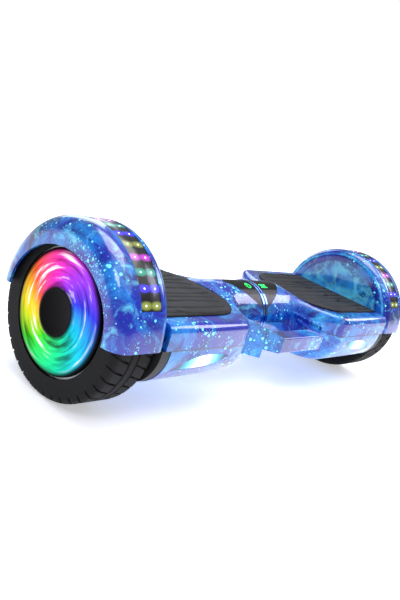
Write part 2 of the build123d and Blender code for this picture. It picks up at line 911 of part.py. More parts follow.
def pivot_clip():
    """Retaining ring in the tube's groove."""
    groove = boss_end_x + clip_thickness / 4
    inner = pivot_radius - clip_groove_depth
    with BuildPart() as clip:
        add(ring(inner, inner + clip_width, groove, groove + clip_thickness))
        add(block((groove - 1, -clip_opening / 2, axle_height - 2 * pivot_radius),
                  (groove + clip_thickness + 1, clip_opening / 2, axle_height)),
            mode=Mode.SUBTRACT)
    return clip


# ---- inner electrics ----
def battery_pack():
    """Battery in the right half, on the base plate."""
    with BuildPart() as pack:
        with BuildSketch(Plane.XY.offset(chassis_top)):
            with Locations((battery_x, battery_offset_y)):
                RectangleRounded(battery_size[0], battery_size[1], 6)
        extrude(amount=battery_size[2])
    return pack


def main_board():
    """Control board with its heat sink in the left half, on the base plate."""
    with BuildPart() as board:
        with BuildSketch(Plane.XY.offset(chassis_top)):
            with Locations((-board_x, board_offset_y)):
                Rectangle(board_size[0], board_size[1])
        extrude(amount=board_size[2] / 2)
        with BuildSketch(Plane.XY.offset(chassis_top + board_size[2] / 2)):
            with Locations((-board_x, board_offset_y)):
                with GridLocations(board_size[0] / 8, 0, 7, 1):
                    Rectangle(board_size[0] / 16, board_size[1] - 8)
        extrude(amount=board_size[2] / 2)
    return board


def gyro_board(side):
    """Small balance sensor board beside the battery or main board."""
    with BuildPart() as board:
        with BuildSketch(Plane.XY.offset(chassis_top)):
            with Locations((gyro_x, gyro_y)):
                Rectangle(gyro_size[0], gyro_size[1])
        extrude(amount=gyro_size[2])
        to_side(side)
    return board


def speaker():
    """Small speaker in its collar behind the grille of the left half."""
    with BuildPart() as unit:
        add(cylinder_along_y(-speaker_x, speaker_height, speaker_radius,
                             speaker_front_y - speaker_length, speaker_front_y))
    return unit


# ---- rear sockets of the right half ----
hinge_y = io_panel_face_y + cap_gap + cap_barrel_radius
socket_height = (io_panel_low + io_panel_high) / 2
hinge_z = socket_height + cap_radius + cap_barrel_radius


def io_panel():
    """Black panel in the rear wall that carries the charge socket and the power button."""
    back = io_panel_face_y - io_panel_thickness
    barrel_end = cap_barrel_length / 2 + cap_gap
    with BuildPart() as panel:
        add(block((io_panel_inner_x, back, io_panel_low),
                  (io_panel_outer_x, io_panel_face_y, io_panel_high)))
        for start in (socket_x - barrel_end - cap_ear_thickness, socket_x + barrel_end):
            add(block((start, io_panel_face_y - 1, hinge_z - cap_barrel_radius),
                      (start + cap_ear_thickness, hinge_y + cap_barrel_radius,
                       io_panel_high)))
        add(cylinder_along_y(socket_x, socket_height, socket_radius, back - 1, io_panel_face_y),
            mode=Mode.SUBTRACT)
        add(cylinder_along_y(button_x, socket_height, button_radius + button_gap, back - 1,
                             io_panel_face_y + 1), mode=Mode.SUBTRACT)
        add(hinge_rod(cap_pin_radius, barrel_end + cap_ear_thickness + 1), mode=Mode.SUBTRACT)
    return panel


def hinge_rod(radius, half_length_x):
    """Rod along X on the cap's hinge line."""
    with BuildPart() as rod:
        with BuildSketch(Plane(origin=(socket_x - half_length_x, hinge_y, hinge_z),
                               x_dir=(0, 1, 0), z_dir=(1, 0, 0))):
            Circle(radius)
        extrude(amount=2 * half_length_x)
    return rod.part


def charge_socket():
    """Round charge socket: a wide mouth, then a narrower well with three contact pins."""
    back = io_panel_face_y - socket_length
    floor = io_panel_face_y - socket_bore_depth
    step = io_panel_face_y - socket_mouth_length
    with BuildPart() as socket:
        add(cylinder_along_y(socket_x, socket_height, socket_radius, back, io_panel_face_y))
        add(cylinder_along_y(socket_x, socket_height, socket_bore_radius, step,
                             io_panel_face_y + 1), mode=Mode.SUBTRACT)
        add(cylinder_along_y(socket_x, socket_height, socket_step_radius, floor, step + 1),
            mode=Mode.SUBTRACT)
        for angle in (90, 210, 330):
            x = socket_x + socket_pin_circle * cos(radians(angle))
            z = socket_height + socket_pin_circle * sin(radians(angle))
            add(cylinder_along_y(x, z, socket_pin_radius, floor - 1, floor + socket_pin_length))
    return socket


def charge_cap():
    """Cap over the charge socket, hinged at its top."""
    face = io_panel_face_y + cap_gap
    with BuildPart() as cap:
        add(cylinder_along_y(socket_x, socket_height, cap_radius, face, face + cap_thickness))
        add(block((socket_x - cap_barrel_length / 2, face, socket_height),
                  (socket_x + cap_barrel_length / 2, face + cap_thickness, hinge_z)))
        add(hinge_rod(cap_barrel_radius, cap_barrel_length / 2))
        add(hinge_rod(cap_pin_radius + cap_pin_fit, cap_barrel_length), mode=Mode.SUBTRACT)
    return cap


def cap_pin():
    with BuildPart() as pin:
        add(hinge_rod(cap_pin_radius, cap_barrel_length / 2 + cap_gap + cap_ear_thickness))
    return pin


def power_button():
    """Round push button, standing proud of the panel."""
    with BuildPart() as button:
        add(cylinder_along_y(button_x, socket_height, button_radius,
                             io_panel_face_y - button_depth, io_panel_face_y + button_proud))
    return button


def power_switch():
    """Switch body behind the button, held by the back of the panel."""
    front = io_panel_face_y - button_depth - button_travel - switch_gap
    back = io_panel_face_y - io_panel_thickness
    with BuildPart() as switch:
        add(block((button_x - switch_size, back - switch_depth, socket_height - switch_size),
                  (button_x + switch_size, back, socket_height + switch_size)))
        add(cylinder_along_y(button_x, socket_height, switch_stem_radius, back - 1, front))
    return switch


# ---- carry handle ----
def carry_handle():
    """Loop handle at the front of the waist, carried by the right half's flank."""
    bar_y = handle_front_y + handle_bar_depth
    knee_x = handle_knee[0]
    with BuildSketch() as plan:
        with BuildLine():
            Polyline((-handle_root[0], -waist_radius / 2), (-handle_root[0], handle_root[1]),
                     (-knee_x, handle_knee[1]), (-handle_bar_half_length, handle_front_y),
                     (handle_bar_half_length, handle_front_y), (knee_x, handle_knee[1]),
                     (handle_root[0], handle_root[1]), (handle_root[0], -waist_radius / 2),
                     close=True)
        make_face()
        with BuildLine():
            Polyline((-handle_finger_root_x, 0), (-handle_finger_root_x, handle_finger_root_y),
                     (-handle_finger_x, bar_y), (handle_finger_x, bar_y),
                     (handle_finger_root_x, handle_finger_root_y), (handle_finger_root_x, 0),
                     close=True)
        make_face(mode=Mode.SUBTRACT)
    split_x = knee_x - 4
    with BuildPart() as arms:
        with BuildSketch(Plane.XY.offset(handle_arm_bottom)):
            add(plan.sketch)
        extrude(amount=handle_arm_top - handle_arm_bottom)
        add(block((-split_x, 2 * handle_front_y, 0), (split_x, 0, deck_height)),
            mode=Mode.SUBTRACT)
    with BuildPart() as bar:
        with BuildSketch(Plane.XY.offset(handle_bar_bottom)):
            add(plan.sketch)
        extrude(amount=handle_bar_top - handle_bar_bottom)
        add(block((-split_x, 2 * handle_front_y, 0), (split_x, 0, deck_height)),
            mode=Mode.INTERSECT)
    with BuildPart() as left_clear:
        add(clear_mass)
        mirror(about=Plane.YZ, mode=Mode.REPLACE)
    with BuildPart() as handle:
        add(arms.part)
        add(bar.part)
        front_edges = handle.edges().filter_by(Axis.X).group_by(Axis.Y)[0]
        fillet(front_edges, radius=handle_edge)
        add(left_clear.part, mode=Mode.SUBTRACT)
        add(outer_mass, mode=Mode.SUBTRACT)
        for z in handle_screw_heights:
            add(cylinder_along_y(handle_screw_x, z, screw_radius + screw_fit,
                                 handle_screw_head_y - handle_screw_length - 1,
                                 handle_screw_head_y), mode=Mode.SUBTRACT)
    return handle


def handle_screws():
    """Two screws from inside the right half into the handle's arm."""
    with BuildPart() as screws:
        for z in handle_screw_heights:
            add(cylinder_along_y(handle_screw_x, z, screw_head_radius, handle_screw_head_y,
                                 handle_screw_head_y + screw_head_height))
            add(cylinder_along_y(handle_screw_x, z, screw_radius,
                                 handle_screw_head_y - handle_screw_length, handle_screw_head_y))
    return screws


os.makedirs("parts", exist_ok=True)
paired = (upper_shell, lower_shell, well_liner, foot_mat, pedal_board,
          display_window, fender_board, fender_lens, headlight_lens, headlight_housing, chassis,
          axle_clamp, half_screws, axle, stator, motor_rim, motor_bearings, tyre,
          hub_light_board, hub_cover, waist_ring, gyro_board)
single = (waist_seal, pivot_tube, pivot_bushes, pivot_clip, battery_pack, main_board, speaker,
          io_panel, charge_socket, charge_cap, cap_pin, power_button, power_switch, carry_handle,
          handle_screws)
for make in paired:
    for side, side_name in sides:
        save(make(side), f"{side_name}_{make.__name__}")
for make in single:
    save(make(), make.__name__)
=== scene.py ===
"""Finishes and detailed pieces for a self balancing hoverboard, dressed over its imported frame.

Metres.  X runs along the board, the front is -Y and Z is up.  Every size comes from the frame
or from the properties below.
"""
import math

import bmesh
import bpy
from mathutils import Matrix, Vector


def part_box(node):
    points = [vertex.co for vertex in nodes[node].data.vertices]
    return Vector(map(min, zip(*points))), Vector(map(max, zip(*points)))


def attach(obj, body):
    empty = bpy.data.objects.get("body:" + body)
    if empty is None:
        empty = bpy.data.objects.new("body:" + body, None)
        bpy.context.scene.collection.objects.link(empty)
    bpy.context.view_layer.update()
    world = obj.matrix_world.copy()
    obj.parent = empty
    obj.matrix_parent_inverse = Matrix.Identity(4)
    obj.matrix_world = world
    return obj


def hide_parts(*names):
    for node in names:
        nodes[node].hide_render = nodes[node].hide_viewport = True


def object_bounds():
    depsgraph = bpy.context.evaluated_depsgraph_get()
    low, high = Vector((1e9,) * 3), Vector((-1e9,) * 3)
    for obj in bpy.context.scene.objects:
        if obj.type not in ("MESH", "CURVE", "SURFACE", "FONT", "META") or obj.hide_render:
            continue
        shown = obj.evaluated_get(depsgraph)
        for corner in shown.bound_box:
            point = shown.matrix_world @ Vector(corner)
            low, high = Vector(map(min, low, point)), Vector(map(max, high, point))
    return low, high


bl_info = {
    "name": "Hoverboard dressing",
    "version": (1, 0, 0),
    "blender": (4, 5, 0),
    "location": "View3D > Sidebar > Hoverboard",
    "description": "Lays finishes and detailed pieces over a hoverboard's frame",
    "category": "Object",
}

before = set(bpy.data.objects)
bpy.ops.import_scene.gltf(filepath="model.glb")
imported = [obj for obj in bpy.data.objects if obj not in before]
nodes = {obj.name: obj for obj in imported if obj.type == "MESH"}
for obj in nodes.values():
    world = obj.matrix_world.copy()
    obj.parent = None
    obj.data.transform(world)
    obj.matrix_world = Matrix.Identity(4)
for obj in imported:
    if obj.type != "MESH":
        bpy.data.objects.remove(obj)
cad_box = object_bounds()

mm = 0.001
sides = (("left", -1), ("right", 1))
tyre_low, tyre_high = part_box("right_tyre")
wheel_radius = (tyre_high.z - tyre_low.z) / 2
axle_z = (tyre_high.z + tyre_low.z) / 2
rim_low, rim_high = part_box("right_motor_rim")
rim_radius = (rim_high.z - rim_low.z) / 2
cover_low, cover_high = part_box("right_hub_cover")
cover_radius = (cover_high.z - cover_low.z) / 2
strip_low, strip_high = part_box("right_fender_lens")
strip_board_low, strip_board_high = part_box("right_fender_board")
fender_radius = strip_high.z - axle_z
strip_end = math.asin((strip_low.z - axle_z) / fender_radius)
belly_low, belly_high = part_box("right_lower_shell")
mat_low, mat_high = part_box("right_foot_mat")
window_low, window_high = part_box("right_display_window")
lamp_low, lamp_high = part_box("right_headlight_lens")
waist_radius = window_high.z - axle_z


def tint(code):
    """Linear colour, with alpha, from an sRGB hex code."""
    parts = [int(code[i:i + 2], 16) / 255 for i in (1, 3, 5)]
    return tuple(c / 12.92 if c <= 0.04045 else ((c + 0.055) / 1.055) ** 2.4 for c in parts) + (1.0,)


def per(size_mm):
    """Texture scale that repeats once in the given number of millimetres."""
    return 1 / (size_mm * mm)


# ---- what a user may change ----
def paint(name, description, code):
    """A colour property."""
    return bpy.props.FloatVectorProperty(name=name, description=description, subtype="COLOR",
                                         size=4, default=tint(code), min=0, max=1)


def run(name, description, length, low, high):
    """A length property, in metres."""
    return bpy.props.FloatProperty(name=name, description=description, default=length, min=low,
                                   max=high, unit="LENGTH")


class FilmSettings(bpy.types.PropertyGroup):
    deep: paint("Deep blue", "Darkest colour of the printed film", "#020a52")
    royal: paint("Royal blue", "Main colour of the printed film", "#0620a0")
    violet: paint("Violet", "Colour of the film's violet drifts", "#23249a")
    cloud: paint("Cloud cyan", "Colour of the film's clouds", "#1492e4")
    star: paint("Star", "Colour of the film's stars", "#6fe6ff")
    spacing: run("Star spacing", "Distance between the larger stars", 5.5 * mm, 1 * mm, 50 * mm)
    edge: run("Edge round", "Rounding of the moulded edges and of the seam", 0.6 * mm, 0, 3 * mm)


class TyreSettings(bpy.types.PropertyGroup):
    sipes: bpy.props.IntProperty(
        name="Sipes", description="Number of cross grooves round the tyre", default=40, min=8,
        max=90)
    depth: run("Sipe depth", "Depth of the tread's grooves", 1.8 * mm, 0, 4 * mm)
    sweep: bpy.props.FloatProperty(
        name="Sipe sweep", description="How far a groove leans back at the shoulder",
        default=math.radians(7), min=0, max=math.radians(20), unit="ROTATION")


class LightSettings(bpy.types.PropertyGroup):
    rows: bpy.props.IntProperty(
        name="Light rows", description="Rows of lights along each fender strip", default=14,
        min=2, max=40)
    glow: bpy.props.FloatProperty(
        name="Strip glow", description="Strength of the fender lights", default=2.2, min=0, max=20)
    hub_glow: bpy.props.FloatProperty(
        name="Hub glow", description="Strength of the hub lights", default=1.25, min=0, max=20)
    lamp_glow: bpy.props.FloatProperty(
        name="Lamp glow", description="Strength of the headlights", default=1.5, min=0, max=20)


class MatSettings(bpy.types.PropertyGroup):
    groove: run("Groove depth", "Depth of the mat's grooves", 1.8 * mm, 0, 2.5 * mm)
    width: run("Groove width", "Width of the mat's grooves", 3.2 * mm, 0.5 * mm, 6 * mm)
    pitch: run("Groove pitch", "Distance from groove to groove", 12.5 * mm, 5 * mm, 40 * mm)


class StageSettings(bpy.types.PropertyGroup):
    lens: bpy.props.FloatProperty(
        name="Focal length", description="Camera focal length", default=40.1, min=10, max=300,
        subtype="DISTANCE_CAMERA")
    floor: paint("Floor", "Colour of the floor", "#f4f5f7")


# ---- materials ----
def put(tree, kind, feeds=(), stops=(), **values):
    """Adds a node, sets its settings and sockets, and links (source, socket) pairs into it."""
    node = tree.nodes.new(kind)
    for name, value in values.items():
        if hasattr(node, name):
            setattr(node, name, value)
        elif name[0] == "i" and name[1:].isdigit():
            node.inputs[int(name[1:])].default_value = value
        else:
            node.inputs[name.replace("_", " ")].default_value = value
    for i, (place, colour) in enumerate(stops):
        marks = node.color_ramp.elements
        mark = marks[i] if i < 2 else marks.new(place)
        mark.position = place
        mark.color = colour
    for source, socket in feeds:
        tree.links.new(source, node.inputs[socket])
    return node


def blank(name, **values):
    """A new material, its tree, its shader with sockets set, and the piece's own coordinates."""
    look = bpy.data.materials.new(name)
    look.use_nodes = True
    tree = look.node_tree
    shader = tree.nodes["Principled BSDF"]
    for socket, value in values.items():
        shader.inputs[socket.replace("_", " ")].default_value = value
    return look, tree, shader, put(tree, "ShaderNodeTexCoord").outputs["Object"]


def printed_film(name, cloud_start, seam_shade_mm):
    """ABS moulding under a water-transfer film and clear lacquer: inky clouds and stars, wet gloss, a
    painted glow that is strongest on the larger stars, and a painted shade line along the seam.
    """
    film = bpy.context.scene.hoverboard_film
    look, tree, shader, spot = blank(name, Roughness=0.3, IOR=1.4, Coat_Weight=1.0,
                                     Coat_Roughness=0.02)
    drift = put(tree, "ShaderNodeTexNoise", [(spot, "Vector")], Scale=per(95), Detail=7.0,
                Roughness=0.6, Distortion=0.5)
    base = put(tree, "ShaderNodeValToRGB", [(drift.outputs["Fac"], "Fac")],
               stops=((0.36, film.deep[:]), (0.66, film.violet[:]), (0.5, film.royal[:])))
    cloud = put(tree, "ShaderNodeTexNoise", [(spot, "Vector")], Scale=per(48), Detail=9.0,
                Roughness=0.68, Distortion=1.1)
    thick = put(tree, "ShaderNodeMapRange", [(cloud.outputs["Fac"], "Value")],
                From_Min=cloud_start, From_Max=cloud_start + 0.2)
    axes = put(tree, "ShaderNodeSeparateXYZ", [(spot, "Vector")])
    along = put(tree, "ShaderNodeMath", [(axes.outputs["X"], 0)], operation="ABSOLUTE")
    wall = put(tree, "ShaderNodeMath", [(along.outputs[0], 0)], operation="COMPARE",
               i1=strip_low.x - 13 * mm, i2=0.6 * mm)
    over_deck = put(tree, "ShaderNodeMath", [(axes.outputs["Z"], 0)], operation="GREATER_THAN",
                    i1=mat_low.z + 4 * mm)
    panel = put(tree, "ShaderNodeMath", [(wall.outputs[0], 0), (over_deck.outputs[0], 1)],
                operation="MULTIPLY")
    lifted = put(tree, "ShaderNodeMath", [(panel.outputs[0], 0), (thick.outputs[0], 2)],
                 operation="MULTIPLY_ADD", i1=0.35, use_clamp=True)
    clouded = put(tree, "ShaderNodeMix", [(lifted.outputs[0], "Factor"), (base.outputs[0], 6)],
                  data_type="RGBA", i7=film.cloud[:])
    core = put(tree, "ShaderNodeTexNoise", [(spot, "Vector")], Scale=per(26), Detail=8.0,
               Roughness=0.62, Distortion=1.6)
    bright = put(tree, "ShaderNodeMath", [(panel.outputs[0], 0), (core.outputs["Fac"], 2)],
                 operation="MULTIPLY_ADD", i1=0.1)
    wisp = put(tree, "ShaderNodeMapRange", [(bright.outputs[0], "Value")], From_Min=0.56,
               From_Max=0.78, To_Max=0.8)
    wisped = put(tree, "ShaderNodeMix", [(wisp.outputs[0], "Factor"), (clouded.outputs[2], 6)],
                 data_type="RGBA", i7=film.star[:])
    swarm = put(tree, "ShaderNodeTexNoise", [(spot, "Vector")], Scale=per(42), Detail=3.0)
    dense = put(tree, "ShaderNodeMapRange", [(swarm.outputs["Fac"], "Value")],
                From_Min=0.4, From_Max=0.62, To_Min=0.06, To_Max=0.42)
    colour = wisped.outputs[2]
    star_glow_mask = None
    for spacing, share in ((film.spacing, 0.9), (film.spacing / 2.3, 0.75)):
        cells = put(tree, "ShaderNodeTexVoronoi", [(spot, "Vector")], Scale=1 / spacing)
        parts = put(tree, "ShaderNodeSeparateXYZ", [(cells.outputs["Color"], "Vector")])
        size = put(tree, "ShaderNodeMath", [(parts.outputs["X"], 0), (dense.outputs[0], 1)],
                   operation="MULTIPLY")
        inside = put(tree, "ShaderNodeMath", [(size.outputs[0], 0), (cells.outputs["Distance"], 1)],
                     operation="SUBTRACT")
        dot = put(tree, "ShaderNodeMapRange", [(inside.outputs[0], "Value")], From_Min=0.0,
                  From_Max=0.05, To_Max=share)
        starred = put(tree, "ShaderNodeMix", [(dot.outputs[0], "Factor"), (colour, 6)],
                      data_type="RGBA", i7=film.star[:])
        colour = starred.outputs[2]
        star_glow_mask = dot.outputs[0] if star_glow_mask is None else star_glow_mask
    # Painted shade: a thin dark line along the seam between upper and lower shells, on the body only,
    # stands for the shade in the parting gap.
    on_body = put(tree, "ShaderNodeMath", [(along.outputs[0], 0)], operation="LESS_THAN",
                  i1=belly_high.x)
    level = put(tree, "ShaderNodeMath", [(axes.outputs["Z"], 0)], operation="COMPARE", i1=axle_z,
                i2=seam_shade_mm * mm)
    seam = put(tree, "ShaderNodeMath", [(on_body.outputs[0], 0), (level.outputs[0], 1)],
               operation="MULTIPLY")
    seam_shaded = put(tree, "ShaderNodeMix", [(seam.outputs[0], "Factor"), (colour, 6)],
                 data_type="RGBA", i7=tint("#03051c"))
    colour = seam_shaded.outputs[2]
    tree.links.new(colour, shader.inputs["Base Color"])
    tree.links.new(colour, shader.inputs["Emission Color"])
    # Painted glow: the film emits its own colour, weakly everywhere and more strongly on the larger stars.
    painted_glow = put(tree, "ShaderNodeMath", [(star_glow_mask, 0)], operation="MULTIPLY_ADD", i1=0.6, i2=0.04)
    tree.links.new(painted_glow.outputs[0], shader.inputs["Emission Strength"])
    return look


def moulded_rubber(name, code, grain_mm, roughness):
    """Compression-moulded rubber: near black, dry, with a fine pebbled skin from the tool."""
    look, tree, shader, spot = blank(name, Roughness=roughness, IOR=1.3)
    pale = tuple(min(1.0, c * 1.7) for c in tint(code)[:3]) + (1.0,)
    wear_and_groove_shade = put(tree, "ShaderNodeTexNoise", [(spot, "Vector")], Scale=per(30), Detail=5.0)
    shade = put(tree, "ShaderNodeValToRGB", [(wear_and_groove_shade.outputs["Fac"], "Fac")],
                stops=((0.35, tint(code)), (0.7, pale)))
    skin = put(tree, "ShaderNodeTexNoise", [(spot, "Vector")], Scale=per(grain_mm), Detail=2.0)
    dent = put(tree, "ShaderNodeBump", [(skin.outputs["Fac"], "Height")], Strength=0.35,
               Distance=0.2 * mm)
    tree.links.new(shade.outputs[0], shader.inputs["Base Color"])
    tree.links.new(dent.outputs[0], shader.inputs["Normal"])
    return look


def mat_rubber(name, top, depth):
    """Foot-mat rubber with painted shade: its colour darkens to near black down in its grooves, so its
    ribs stand paler.
    """
    look = moulded_rubber(name, "#242426", 1.1, 0.6)
    tree = look.node_tree
    shade = tree.nodes["Principled BSDF"].inputs["Base Color"]
    spot = put(tree, "ShaderNodeTexCoord").outputs["Object"]
    axes = put(tree, "ShaderNodeSeparateXYZ", [(spot, "Vector")])
    # Painted shade: darker towards the groove bottoms, by height below the mat's top.
    wear_and_groove_shade = put(tree, "ShaderNodeMapRange", [(axes.outputs["Z"], "Value")], From_Min=top - depth,
               From_Max=top)
    groove_shaded = put(tree, "ShaderNodeMix", [(wear_and_groove_shade.outputs[0], "Factor"),
                                         (shade.links[0].from_socket, 7)],
                 data_type="RGBA", i6=tint("#020202"))
    tree.links.new(groove_shaded.outputs[2], shade)
    return look


def grained_abs(name, code, roughness):
    """Injection-moulded ABS with a spark-eroded grain: soft, broken highlights."""
    look, tree, shader, spot = blank(name, Roughness=roughness, IOR=1.53)
    grain = put(tree, "ShaderNodeTexNoise", [(spot, "Vector")], Scale=per(0.9), Detail=2.0)
    shade = put(tree, "ShaderNodeMapRange", [(grain.outputs["Fac"], "Value")],
                To_Min=roughness - 0.08, To_Max=roughness + 0.12)
    drift = put(tree, "ShaderNodeTexNoise", [(spot, "Vector")], Scale=per(25), Detail=3.0)
    pale = tuple(min(1.0, c * 1.4) for c in tint(code)[:3]) + (1.0,)
    tone = put(tree, "ShaderNodeValToRGB", [(drift.outputs["Fac"], "Fac")],
               stops=((0.3, tint(code)), (0.75, pale)))
    dent = put(tree, "ShaderNodeBump", [(grain.outputs["Fac"], "Height")], Strength=0.25,
               Distance=0.1 * mm)
    tree.links.new(tone.outputs[0], shader.inputs["Base Color"])
    tree.links.new(shade.outputs[0], shader.inputs["Roughness"])
    tree.links.new(dent.outputs[0], shader.inputs["Normal"])
    return look


def metal(name, code, roughness, streak_mm, stretch):
    """Bare metal: streaks follow the tool along one axis, and blotches dull it a little."""
    look, tree, shader, spot = blank(name, Metallic=1.0, Roughness=roughness)
    turned_spot = put(tree, "ShaderNodeMapping", [(spot, "Vector")], Scale=stretch)
    streak = put(tree, "ShaderNodeTexNoise", [(turned_spot.outputs[0], "Vector")],
                 Scale=per(streak_mm), Detail=3.0)
    dull = put(tree, "ShaderNodeMapRange", [(streak.outputs["Fac"], "Value")],
               To_Min=roughness * 0.7, To_Max=roughness * 1.4)
    dark = tuple(c * 0.72 for c in tint(code)[:3]) + (1.0,)
    tone = put(tree, "ShaderNodeValToRGB", [(streak.outputs["Fac"], "Fac")],
               stops=((0.3, dark), (0.65, tint(code))))
    tree.links.new(tone.outputs[0], shader.inputs["Base Color"])
    tree.links.new(dull.outputs[0], shader.inputs["Roughness"])
    return look


def etched_board(name):
    """Glass-epoxy circuit board under solder mask: dark green with a faint net of copper tracks."""
    look, tree, shader, spot = blank(name, Roughness=0.35, IOR=1.5)
    tracks = put(tree, "ShaderNodeTexBrick", [(spot, "Vector")], Scale=per(4), Mortar_Size=0.06,
                 Color1=tint("#0c3a26"), Color2=tint("#0f4630"), Mortar=tint("#2f7a4e"))
    tree.links.new(tracks.outputs["Color"], shader.inputs["Base Color"])
    return look


def wound_iron(name):
    """Laminated iron under copper windings: rust-brown bands that follow the wire."""
    look, tree, shader, spot = blank(name, Metallic=1.0, Roughness=0.4)
    wire = put(tree, "ShaderNodeTexWave", [(spot, "Vector")], Scale=per(9), Distortion=0.4)
    tone = put(tree, "ShaderNodeValToRGB", [(wire.outputs["Fac"], "Fac")],
               stops=((0.3, tint("#5b3420")), (0.7, tint("#c07a48"))))
    tree.links.new(tone.outputs[0], shader.inputs["Base Color"])
    return look


def shrink_wrap(name):
    """PVC heat-shrink sleeve: taut, glossy and slightly wrinkled."""
    look, tree, shader, spot = blank(name, Roughness=0.3, IOR=1.53)
    crease = put(tree, "ShaderNodeTexNoise", [(spot, "Vector")], Scale=per(14), Detail=4.0)
    tone = put(tree, "ShaderNodeValToRGB", [(crease.outputs["Fac"], "Fac")],
               stops=((0.3, tint("#0d2c80")), (0.7, tint("#1b49b4"))))
    dent = put(tree, "ShaderNodeBump", [(crease.outputs["Fac"], "Height")], Strength=0.5,
               Distance=0.6 * mm)
    tree.links.new(tone.outputs[0], shader.inputs["Base Color"])
    tree.links.new(dent.outputs[0], shader.inputs["Normal"])
    return look


def plated_trim(name, code):
    """Vacuum-plated ABS with a blue clear coat: a mirror with a cool cast."""
    look, tree, shader, spot = blank(name, Metallic=1.0, Roughness=0.12, Coat_Weight=0.6,
                                     Coat_Roughness=0.05)
    haze = put(tree, "ShaderNodeTexNoise", [(spot, "Vector")], Scale=per(8), Detail=3.0)
    dark = tuple(c * 0.6 for c in tint(code)[:3]) + (1.0,)
    tone = put(tree, "ShaderNodeValToRGB", [(haze.outputs["Fac"], "Fac")],
               stops=((0.3, dark), (0.6, tint(code))))
    tree.links.new(tone.outputs[0], shader.inputs["Base Color"])
    return look


def display_gloss(name):
    """Smoked acrylic window: grey panel at the front, black behind, one polished surface."""
    look, tree, shader, spot = blank(name, Roughness=0.38, IOR=1.25, Coat_Weight=0.1,
                                     Coat_Roughness=0.06)
    axes = put(tree, "ShaderNodeSeparateXYZ", [(spot, "Vector")])
    front = put(tree, "ShaderNodeMapRange", [(axes.outputs["Y"], "Value")],
                From_Min=-0.40 * waist_radius, From_Max=-0.44 * waist_radius)
    dust = put(tree, "ShaderNodeTexNoise", [(spot, "Vector")], Scale=per(6), Detail=4.0)
    grey = put(tree, "ShaderNodeValToRGB", [(dust.outputs["Fac"], "Fac")],
               stops=((0.3, tint("#3b3a3d")), (0.75, tint("#4d4b4e"))))
    shade = put(tree, "ShaderNodeMix", [(front.outputs[0], "Factor"), (grey.outputs[0], 7)],
                data_type="RGBA", i6=tint("#08090b"))
    tree.links.new(shade.outputs[2], shader.inputs["Base Color"])
    return look


def lit_plastic(name, code, strength):
    """Clear plastic cap over a light-emitting diode: an even, slightly cloudy glow."""
    look, tree, shader, spot = blank(name, Roughness=0.3, Emission_Strength=strength)
    haze = put(tree, "ShaderNodeTexNoise", [(spot, "Vector")], Scale=per(3), Detail=2.0)
    dim = tuple(c * 0.8 for c in tint(code)[:3]) + (1.0,)
    tone = put(tree, "ShaderNodeValToRGB", [(haze.outputs["Fac"], "Fac")],
               stops=((0.2, dim), (0.7, tint(code))))
    tree.links.new(tone.outputs[0], shader.inputs["Base Color"])
    tree.links.new(tone.outputs[0], shader.inputs["Emission Color"])
    return look


def axle_angle(tree, spot):
    """Nodes that give the angle about the axle, 0 at the front and a quarter turn at the top."""
    axes = put(tree, "ShaderNodeSeparateXYZ", [(spot, "Vector")])
    ahead = put(tree, "ShaderNodeMath", [(axes.outputs["Y"], 0)], operation="MULTIPLY", i1=-1.0)
    up = put(tree, "ShaderNodeMath", [(axes.outputs["Z"], 0)], operation="SUBTRACT", i1=axle_z)
    angle = put(tree, "ShaderNodeMath", [(up.outputs[0], 0), (ahead.outputs[0], 1)],
                operation="ARCTAN2")
    across = put(tree, "ShaderNodeMath", [(axes.outputs["X"], 0)], operation="ABSOLUTE")
    squares = put(tree, "ShaderNodeMath", [(ahead.outputs[0], 0), (ahead.outputs[0], 1)],
                  operation="MULTIPLY")
    total = put(tree, "ShaderNodeMath", [(up.outputs[0], 0), (up.outputs[0], 1),
                                         (squares.outputs[0], 2)], operation="MULTIPLY_ADD")
    reach = put(tree, "ShaderNodeMath", [(total.outputs[0], 0)], operation="SQRT")
    return angle.outputs[0], across.outputs[0], reach.outputs[0]


